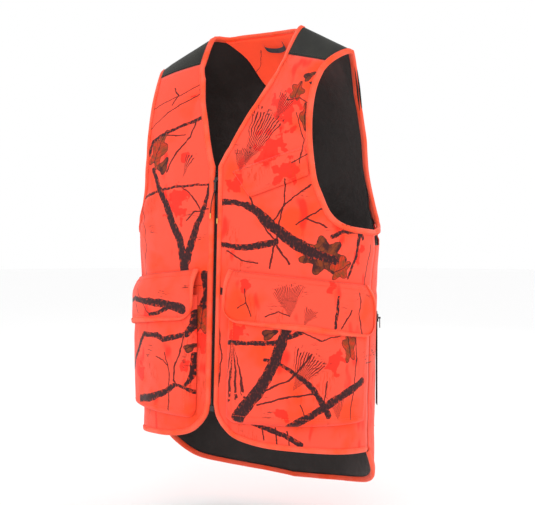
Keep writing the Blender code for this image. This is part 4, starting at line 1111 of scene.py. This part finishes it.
def zipCord():
    hang, drop = -zipPull["length"], -zipPull["drop"]
    eye = hang + 0.0036
    route = [
        (-0.0062, -0.0030, drop), (-0.0052, -0.0030, drop * 0.72), (-0.0030, -0.0028, hang - 0.0070),
        (-0.0012, -0.0024, hang - 0.0010), (-0.0003, -0.0020, eye - 0.0012), (0, 0, eye + 0.0002),
        (0.0003, 0.0019, eye - 0.0012), (0.0012, 0.0016, hang - 0.0012), (0.0032, -0.0008, hang - 0.0090),
        (0.0054, -0.0018, drop * 0.75), (0.0062, -0.0022, drop - 0.008),
    ]
    frameOf = Matrix.Translation(zipPull["pivot"]) @ Matrix.Rotation(-zipPull["lean"], 4, "X")
    spots = [frameOf @ Vector(point) for point in route]
    line = []
    for i in range(len(spots) - 1):
        near = [spots[max(i - 1, 0)], spots[i], spots[i + 1], spots[min(i + 2, len(spots) - 1)]]
        line += [catmull(*near, k / 4) for k in range(4)]
    line.append(spots[-1])
    curve = bpy.data.curves.new("zipCord", "CURVE")
    curve.dimensions = "3D"
    curve.bevel_depth = zipPull["radius"]
    curve.bevel_resolution = 3
    curve.use_fill_caps = True
    spline = curve.splines.new("POLY")
    spline.points.add(len(line) - 1)
    for target, point in zip(spline.points, line):
        target.co = (*point, 1)
    cord = bpy.data.objects.new("zipCord", curve)
    bpy.context.scene.collection.objects.link(cord)
    curve.materials.append(cordCloth)
    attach(cord, "front_pull")
    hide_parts("zip_pull_cord")
    length = sum((b - a).length for a, b in zip(line, line[1:]))
    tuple(line[0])
    flatSizes.append(f"zipCord: {length * 1000:.0f} mm long")


zipCord()

# shell and lining
shell = {"inset": 0.0036, "thick": 0.0012, "cells": (58, 92), "yokeCells": (58, 14), "liningLift": -0.0036}
sides = (("Left", "left", 1), ("Right", "right", -1))


def fronts():
    low, top = frontPanel(shell["inset"]), frontTop(shell["inset"])
    whole = stacked(low, top, 0.87)
    for side, word, mirror in sides:
        place = onHalf(-1, low, 0.0, mirror)
        gridCloth("frontPanel" + side, *shell["cells"], place, halfPattern(low, mirror), camo["front" + side],
                  "vest", "camo_orange", ["front_panel_" + word], shell["thick"], "stretched", [])
        place = onHalf(-1, top, 0.0004, mirror)
        gridCloth("frontYoke" + side, *shell["yokeCells"], place, halfPattern(top, mirror), blackCloth, "vest",
                  "black_cloth", ["front_yoke_" + word], shell["thick"], "stretched", [])
        seam = mapPoints(place, [(k / 60, 0.07) for k in range(61)])
        stitches("frontYokeStitches" + side, seam, blackThread, "vest")
        place = onHalf(-1, whole, shell["liningLift"], mirror)
        gridCloth("frontLining" + side, 34, 60, place, halfPattern(whole, mirror), liningCloth, "vest",
                  "black_lining", ["front_lining_" + word], 0.0008, "stretched", [])


def back():
    low, top = backPanel(shell["inset"]), backTop(shell["inset"])
    whole = stacked(low, top, 0.7)
    gridCloth("backPanel", 112, 90, bothHalves(1, low, 0.0), bothPattern(low), camo["back"], "vest",
              "camo_orange", ["back_panel"], shell["thick"], "stretched", [])
    place = bothHalves(1, top, 0.0004)
    gridCloth("backYoke", 112, 26, place, bothPattern(top), blackCloth, "vest", "black_cloth", ["back_yoke"],
              shell["thick"], "stretched", [])
    seam = mapPoints(place, [(k / 140, 0.03) for k in range(141)])
    stitches("backYokeStitches", seam, blackThread, "vest")
    gridCloth("backLining", 72, 66, bothHalves(1, whole, shell["liningLift"]), bothPattern(whole), liningCloth,
              "vest", "black_lining", ["back_lining"], 0.0008, "stretched", [])


facing = {"foot": [(0.0, -0.069), (0.030, -0.063), (0.052, -0.036), (0.062, 0.002)], "end": 0.84, "lift": -0.0072}
sizeLabel = {"halfWidth": 0.0175, "foot": -0.0485, "head": -0.0375, "lift": -0.0092, "round": 0.0052}


def insideNeck():
    foot = Route([cloth(x, z) for x, z in facing["foot"]])

    def shape(u, v):
        head, low = neckBack.at(u * facing["end"], -0.0045), foot.at(u)
        return underRidge((between(low[0], head[0], v), between(low[1], head[1], v)))

    gridCloth("neckFacing", 60, 22, bothHalves(1, shape, facing["lift"]), bothPattern(shape), camo["facing"],
              "vest", "camo_orange", ["neck_facing"], 0.0008, "stretched", [])

    def pill(u, v):  # u runs from the middle to the rounded end
        foot, head = sizeLabel["foot"], sizeLabel["head"]
        middle, half = (foot + head) / 2, (head - foot) / 2
        past = clamp((u * sizeLabel["halfWidth"] - sizeLabel["halfWidth"] + half) / half)
        half *= math.sqrt(max(1 - past**2, 0.0004))
        return cloth(u * sizeLabel["halfWidth"], middle + half * (2 * v - 1))

    gridCloth("sizeLabel", 36, 6, bothHalves(1, pill, sizeLabel["lift"]), bothPattern(pill), labelCloth, "vest",
              "white_label", ["size_label"], 0.0006, "stretched", [])


hangLoop = {"width": 0.045, "drop": 0.009, "tape": 0.0062, "lift": -0.0125, "below": 0.0085}


def loopPlace(u, v):
    turn = math.radians(between(-90, 90, u))
    x = hangLoop["width"] / 2 * math.sin(turn)
    drop = hangLoop["drop"] * max(0.0, math.cos(turn)) ** 0.6
    h = cloth(0.0, edges["neckBack"][0][1])[1] - hangLoop["below"] - drop
    h += hangLoop["tape"] * (v - 0.5)
    return lifted(1, cloth(abs(x), 0.0)[0], h, hangLoop["lift"] + 0.0010 * math.cos(turn), 1 if x >= 0 else -1)


def hangingLoop():
    gridCloth("hangingLoop", 40, 6, loopPlace, lambda u, v: (u * 0.05, v * hangLoop["tape"]), webbing,
              "neck_loop", "grey_webbing", ["hang_loop"], 0.0011, None, [])


fronts()
back()
insideNeck()
hangingLoop()
print("shell and lining made")


def allBindings():
    halves = []
    for mirror in (1, -1):
        halves.append([(-1, hem, 1, 0.995, 0, mirror), (-1, corner, -1, 0, 1, mirror),
                       (-1, centreLow, -1, 0, 1, mirror), (-1, centreUp, -1, 0, 1, mirror),
                       (-1, vee, -1, 0, 1, mirror), (-1, neckTop, -1, 0, 1, mirror),
                       (1, neckBack, -1, 1, 0, mirror)])
    turned = [(side, route, sign, end, start, mirror) for side, route, sign, start, end, mirror in halves[1][::-1]]
    runs = halves[0] + turned
    binding("frontEdgeBinding", runs, bindingCloth, "vest",
            ["front_binding_left", "front_binding_right", "back_neck_binding"])
    stitches("frontEdgeStitches", seamPoints(runPoints(runs, 0.006), 0.0068, 0.0016), orangeThread, "vest")
    runs = [(1, tail, 1, 0.995, 0, 1), (1, tail, 1, 0, 0.995, -1)]
    binding("backHemBinding", runs, bindingCloth, "vest", ["back_hem_binding"])
    stitches("backHemStitches", seamPoints(runPoints(runs, 0.006), 0.0068, 0.0016), orangeThread, "vest")
    for side, word, mirror in sides:
        runs = [(-1, armFront, 1, 0, 1, mirror), (1, armBack, 1, 1, 0, mirror)]
        binding("armholeBinding" + side, runs, bindingCloth, "vest", ["armhole_binding_" + word], closed=True)
        line = seamPoints(runPoints(runs, 0.006), 0.0068, 0.0016)
        stitches("armholeStitches" + side, line, orangeThread, "vest")


allBindings()
print("bindings made")

# bellows pockets on the fronts
pocket = {"start": 0.029, "end": 84, "foot": -0.600, "rim": -0.407, "rimSlope": 0.034, "corner": 0.016,
          "low": 0.0020, "high": 0.0128, "wall": 0.011, "cells": (66, 52), "puff": 0.0030}


def pocketShape(u, v):
    start, end = cloth(pocket["start"], -0.5)[0], atDegrees(pocket["end"], 0)[0]
    p = between(start, end, u)
    z = between(pocket["foot"], pocket["rim"] - pocket["rimSlope"] * u, v)
    near = clamp(1 - (p - start) / pocket["corner"])
    return p, z - body["chestZ"] + pocket["corner"] * (1 - math.sqrt(1 - near**2)) * (1 - v) ** 3


def pocketPlace(mirror):
    width = atDegrees(pocket["end"], 0)[0] - pocket["start"]
    height = pocket["rim"] - pocket["foot"]

    def place(u, v):
        p, h = pocketShape(u, v)
        near = min(u * width, (1 - u) * width, v * height)
        wall = 1 - (1 - clamp(near / pocket["wall"])) ** 2.4
        lift = between(pocket["low"], pocket["high"], wall)
        sag = math.sin(math.pi * clamp(u)) ** 0.7 * math.sin(math.pi * min(1, v * 0.8 + 0.12))
        fold = noise.noise(Vector((p * 17, h * 12 + 4 * mirror, 2.0)))
        fold += 0.4 * noise.noise(Vector((p * 46 + h * 20, h * 30, 5.0 + mirror)))
        return lifted(-1, p, h, lift + wall * (pocket["puff"] * sag + 0.0020 * fold), mirror)

    return place


def spaced(value, bothEnds=True):  # closer together near the ends
    if bothEnds:
        return 0.5 - 0.5 * math.cos(math.pi * value)
    return 1 - math.cos(math.pi / 2 * value)


def makePockets():
    for side, word, mirror in sides:
        place = pocketPlace(mirror)
        gridCloth("pocket" + side, *pocket["cells"],
                  lambda u, v: place(spaced(u), spaced(v, False)),
                  lambda u, v: halfPattern(pocketShape, mirror)(spaced(u), spaced(v, False)),
                  camo["pocket" + side], "vest", "camo_orange", ["pocket_" + word], 0.0010, "stretched", [])
        rim = mapPoints(place, [(between(0.06, 0.94, k / 80), 0.93) for k in range(81)])
        edge = [(0.055, between(0.95, 0.075, k / 40)) for k in range(41)]
        edge += [(between(0.055, 0.945, k / 60), 0.070) for k in range(1, 61)]
        edge += [(0.945, between(0.075, 0.95, k / 40)) for k in range(1, 41)]
        stitches("pocketRimStitches" + side, rim, orangeThread, "vest")
        stitches("pocketEdgeStitches" + side, mapPoints(place, edge), orangeThread, "vest")


flap = {"start": 0.027, "end": 86, "top": -0.367, "slope": 0.024, "drop": 0.078, "lift": (0.0030, 0.0180),
        "rise": 0.034, "corner": 0.026, "thick": 0.0016, "tape": 0.0100, "axisX": 0.150}


def flapShape(u, v, inset=0.0):
    start, end = cloth(flap["start"], -0.5)[0] + inset, atDegrees(flap["end"], 0)[0] - inset
    p = between(start, end, u)
    near = clamp(1 - min(p - start, end - p) / flap["corner"])
    drop = flap["corner"] * (1 - math.sqrt(1 - near**2)) * (1 - v)
    z = flap["top"] - flap["slope"] * u - (flap["drop"] - inset) * (1 - v)
    return p, z - body["chestZ"] + drop


def flapPlace(mirror, extra=0.0, inset=0.0):
    def place(u, v):
        p, h = flapShape(u, v, inset)
        down = flap["top"] - flap["slope"] * u - body["chestZ"] - h
        share = clamp(down / flap["rise"])
        lift = between(*flap["lift"], share * (2 - share))
        wave = noise.noise(Vector((p * 15, 8.0 + mirror, h * 6))) + 0.35 * noise.noise(Vector((p * 40, h * 40, 1)))
        return lifted(-1, p, h, lift + extra + 0.0024 * wave * share * clamp(down / 0.06), mirror)

    return place


def flapFold(piece, mirror):
    # the piece is taken off its body and its placement baked into the mesh; the point and axis of the seam the
    # flap's body swings on are worked out but not applied
    angle = math.asin(flap["axisX"] / station(flap["top"], 1))
    h = flap["top"] - flap["slope"] / 2 - body["chestZ"]
    point = surfacePoint(-1, angle, h) + outward(-1, angle, h) * flap["lift"][0]
    point.x *= mirror
    axis = Vector((0.888611 * mirror, 0.445104, -0.110693))
    normal = Vector((0.447856 * mirror, -0.894105, 0))
    down = axis.cross(normal)
    if down.z > 0:
        down = -down
    held = piece.matrix_world.copy()
    piece.parent = None
    piece.matrix_world = held
    point + down * 0.040
    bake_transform(piece)


def makeFlaps():
    for side, word, mirror in sides:
        rider = "flap_" + word
        place = flapPlace(mirror)
        flapCloth = gridCloth("pocketFlap" + side, 70, 24, lambda u, v: place(spaced(u), v),
                              lambda u, v: halfPattern(flapShape, mirror)(spaced(u), v), camo["flap" + side], rider,
                              "camo_orange", ["pocket_flap_" + word], flap["thick"], "hung", [])
        outline = [(0.0, 1 - k / 14) for k in range(15)] + [(spaced(k / 70), 0.0) for k in range(1, 71)]
        outline += [(1.0, k / 14) for k in range(1, 15)]
        rim = [place(u, v) for u, v in outline]
        centre = (0.5, 0.75)
        inner = []
        for (u, v), point in zip(outline, rim):
            toward = place(u + (centre[0] - u) * 0.05, v + (centre[1] - v) * 0.05 if v < 0.99 else v) - point
            inner.append(toward.normalized())
        profile = [(0.0098, 0.0007), (0.0092, 0.0013), (0.0050, 0.0017), (0.0010, 0.0012), (-0.0008, -0.0007),
                   (0.0010, -0.0026), (0.0050, -0.0031), (0.0092, -0.0029)]
        normals = [n for _, n in mapPoints(place, [(clamp(u, 0.001, 0.999), clamp(v, 0.001, 0.999))
                                                   for u, v in outline])]
        columns, rows = len(outline) - 1, len(profile) - 1
        distance = [0.0]
        for a, b in zip(rim, rim[1:]):
            distance.append(distance[-1] + (b - a).length)

        def tape(u, v):
            k, j = round(u * columns), round(v * rows)
            inset, lift = profile[j]
            return rim[k] + inner[k] * inset + normals[k] * lift

        bound = tapePiece("flapBinding" + side, columns, rows, tape,
                          lambda u, v: (distance[round(u * columns)], v * 0.03), bindingCloth, rider,
                          ["flap_binding_" + word], False)
        edgeRows = [(rim[k] + inner[k] * 0.0078 + normals[k] * 0.0018, normals[k]) for k in range(len(rim))]
        sewn = [flapCloth, bound, stitches("flapEdgeStitches" + side, edgeRows, orangeThread, rider)]
        for number, v in enumerate((0.985, 0.90)):
            line = mapPoints(place, [(between(0.01, 0.99, k / 90), v) for k in range(91)])
            sewn.append(stitches(f"flapSeamStitches{number + 1}{side}", line, orangeThread, rider))
        for piece in sewn:
            flapFold(piece, mirror)


strips = {"span": (0.30, 0.52), "height": (0.16, 0.40)}


def makeStrips():
    for side, word, mirror in sides:
        under = flapPlace(mirror, -flap["thick"] - 0.0003)
        spot = lambda u, v: (between(*strips["span"], u), between(*strips["height"], v))
        gridCloth("flapHookStrip" + side, 24, 8, lambda u, v: under(*spot(u, v)),
                  lambda u, v: (u * 0.057, v * 0.019), hookCloth, "flap_" + word, "black_tape",
                  ["flap_hook_strip_" + word], 0.0009, "laid", ["pocketFlap" + side])
        face = pocketPlace(mirror)
        top = lambda u, v: flapShape(*spot(u, v))

        def onPocket(u, v, mirror=mirror):
            p, h = top(u, v)
            share = ((p - pocket["start"]) / (atDegrees(pocket["end"], 0)[0] - pocket["start"]))
            rim = pocket["rim"] - pocket["rimSlope"] * share - body["chestZ"]
            foot = pocket["foot"] - body["chestZ"]
            point = face(share, (h - foot) / (rim - foot))
            return point + outward(-1, p / body["radius"], h) * Vector((mirror, 1, 1)) * 0.0012

        gridCloth("pocketLoopStrip" + side, 24, 8, onPocket, lambda u, v: (u * 0.057, v * 0.019), hookCloth,
                  "vest", "black_tape", ["pocket_loop_strip_" + word], 0.0008, "laid", ["pocket" + side])


makePockets()
makeFlaps()
makeStrips()
print("pockets and flaps made")

# slanting chest pocket
welt = {"top": [(0.030, -0.2155), (0.1470, -0.1810)], "foot": [(0.063, -0.2560), (0.1520, -0.2240)],
        "lift": 0.0030, "bag": [(0.070, -0.370), (0.152, -0.350), (0.058, -0.262), (0.142, -0.238)]}


def patch(corners):
    a, b, c, d = (cloth(*spot) for spot in corners)
    return lambda u, v: tuple(between(between(a[k], b[k], u), between(c[k], d[k], u), v) for k in (0, 1))


def chestPocket():
    shape = patch((*welt["foot"], *welt["top"]))

    def place(u, v):
        p, h = shape(u, v)
        near = min(u * 0.10, (1 - u) * 0.10, v * 0.04, (1 - v) * 0.04)
        rise = 1 - (1 - clamp(near / 0.004)) ** 2
        low = 0.0016 if v < 0.5 else 0.0004
        return lifted(-1, p, h, between(low, welt["lift"], rise) + 0.0012 * smooth(1 - v))

    gridCloth("chestPocketWelt", 40, 18, place, halfPattern(shape), camo["frontLeft"], "vest", "camo_orange",
              ["chest_pocket_welt"], 0.0012, "stretched", [])
    for number, v in enumerate((0.10, 0.93)):
        line = mapPoints(place, [(between(0.03, 0.97, k / 60), v) for k in range(61)])
        stitches(f"chestStitches{number + 1}", line, orangeThread, "vest")
    bag = patch(welt["bag"])
    gridCloth("chestPocketBag", 20, 20, onHalf(-1, bag, -0.0066), halfPattern(bag), liningCloth, "vest",
              "black_lining", ["chest_pocket_bag"], 0.0008, "stretched", [])


chestPocket()

# game bag across the back
game = {"end": 57, "foot": -0.640, "head": -0.420, "low": 0.0020, "high": 0.0135, "wall": 0.012}


def gameShape(u, v):
    near = max(0.0, abs(u) - 0.9) * 10
    h = between(game["foot"], game["head"], v) - body["chestZ"]
    return atDegrees(game["end"], 0)[0] * u, h + 0.02 * (1 - math.sqrt(1 - min(1.0, near) ** 2)) * (1 - v)


def gameBag():
    width, height = atDegrees(game["end"], 0)[0], game["head"] - game["foot"]

    def lay(half, v):
        s = math.sin(math.pi / 2 * abs(half))
        p, h = gameShape(s, v)
        near = min((1 - s) * width, v * height)
        wall = 1 - (1 - clamp(near / game["wall"])) ** 2.4
        sag = 0.004 * math.sin(math.pi * v) * (1 - s * s)
        fold = 0.0022 * noise.noise(Vector((p * 13 * (1 if half > 0 else -1), h * 10, 7.0)))
        top = 1 - 0.6 * smooth((v - 0.93) / 0.07)
        lift = between(game["low"], game["high"] * top, wall) + wall * (sag + fold)
        return p, h, lift

    def place(u, v):
        half = 2 * u - 1
        p, h, lift = lay(half, spaced(v, False))
        return lifted(1, p, h, lift, 1 if half >= 0 else -1)

    def pattern(u, v):
        half = 2 * u - 1
        p, h, lift = lay(half, spaced(v, False))
        return (p if half >= 0 else -p), h + body["chestZ"]

    gridCloth("gameBag", 110, 56, place, pattern, camo["game"], "vest", "camo_orange", ["game_bag"], 0.0010,
              "stretched", [])
    line = mapPoints(place, [(k / 120, 0.955) for k in range(121)])
    stitches("gameBagRimStitches", line, orangeThread, "vest")
    edge = [(0.035, between(0.97, 0.18, k / 40)) for k in range(41)]
    edge += [(between(0.035, 0.965, k / 110), 0.18) for k in range(1, 111)]
    edge += [(0.965, between(0.18, 0.97, k / 40)) for k in range(1, 41)]
    stitches("gameBagEdgeStitches", mapPoints(place, edge), orangeThread, "vest")


gameBag()
print("chest pocket and game bag made")

# zips: teeth, tapes and hardware
mainZip = {"top": -0.212, "length": 0.366, "coil": (0.0009, 0.0030), "coilLift": (-0.0042, -0.0024),
           "tape": (0.0013, 0.0190), "tapeLift": -0.0056, "pin": 0.014, "pitch": 0.0017}
sideZip = {"turn": 70, "foot": -0.585, "head": -0.435, "width": 0.024, "tapeLift": 0.0024,
           "coilLift": (0.0026, 0.0036)}


def zipTeeth(name, line, sign, span, lift, replaces):
    # each tooth is a small rounded bar with a nose towards the middle
    bm = bmesh.new()
    inner, outer = mainZip["coil"]
    count = int((span[1] - span[0]) / mainZip["pitch"])
    for k in range(count):
        z = span[0] + (k + (0.5 if sign > 0 else 0.0) + 0.3) * mainZip["pitch"]
        x = sign * (inner - 0.0008 + outer) / 2
        size = Matrix.Diagonal((outer - inner + 0.0008, lift[1] - lift[0], mainZip["pitch"] * 0.46, 1))
        at = line @ Matrix.Translation((x, -(lift[0] + lift[1]) / 2, z))
        bmesh.ops.create_cube(bm, size=1.0, matrix=at @ size)
    piece = newPiece(name, bm, coilPlastic, "vest", replaces)
    piece.data.shade_flat()
    bevel = piece.modifiers.new("rounded", "BEVEL")
    bevel.width = 0.00022
    bevel.segments = 1


def zipTape(name, line, sign, reach, lift, span, replaces):
    def place(u, v):
        x = sign * between(reach[0], reach[1], u)
        bead = 0.0005 * math.exp(-((u - 0.12) / 0.08) ** 2)
        return line @ Vector((x, -(lift + bead), between(span[0], span[1], v)))

    gridCloth(name, 12, 60, place, lambda u, v: (u * reach[1], between(span[0], span[1], v)), tapeCloth, "vest",
              "black_tape", replaces, 0.0005, "stretched", [])


def makeZips():
    topY = -body["frontDepth"] + body["frontFlare"] * (mainZip["top"] - body["chestZ"])
    line = Matrix.Translation((0, topY, mainZip["top"])) @ Matrix.Rotation(-math.atan(body["frontFlare"]), 4, "X")
    for side, word, sign in sides:
        foot = -mainZip["length"] + (mainZip["pin"] if sign < 0 else 0.0)
        zipTeeth("zipTeeth" + side, line, sign, (foot, -0.004), mainZip["coilLift"], ["zip_coil_" + word])
        zipTape("zipTape" + side, line, sign, mainZip["tape"], mainZip["tapeLift"], (-mainZip["length"], 0),
                ["zip_tape_" + word])
    for side, word, mirror in sides:
        angle = math.radians(sideZip["turn"])
        h = (sideZip["foot"] + sideZip["head"]) / 2 - body["chestZ"]
        point, normal = surfacePoint(1, angle, h), outward(1, angle, h)
        turn = math.atan2(normal.x, -normal.y) * mirror
        line = Matrix.Translation((point.x * mirror, point.y, point.z)) @ Matrix.Rotation(turn, 4, "Z")
        half = (sideZip["head"] - sideZip["foot"]) / 2
        order = ("rear", "front") if mirror > 0 else ("front", "rear")
        for end, sign in zip(order, (1, -1)):
            name = end.capitalize() + side
            zipTeeth("gameZipTeeth" + name, line, sign, (-half, half - 0.004), sideZip["coilLift"],
                     [f"game_zip_coil_{end}_{word}"])
            zipTape("gameZipTape" + name, line, sign, (0.0012, sideZip["width"] / 2), sideZip["tapeLift"],
                    (-half, half), [f"game_zip_tape_{end}_{word}"])


def hardware():
    kept = {
        darkMetal: ["zip_top_stop_left", "zip_top_stop_right", "zip_insertion_pin", "zip_retainer_box", "zip_slider",
                    "zip_pull_tab", "game_zip_slider_left", "game_zip_slider_right", "game_zip_pull_left",
                    "game_zip_pull_right"],
        brassMetal: ["cord_tip_1", "cord_tip_2"],
    }
    for material, names in kept.items():
        for name in names:
            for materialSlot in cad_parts[name].material_slots:
                materialSlot.material = material


makeZips()
hardware()
print("zips made")
for line in flatSizes:
    print("flat size", line)
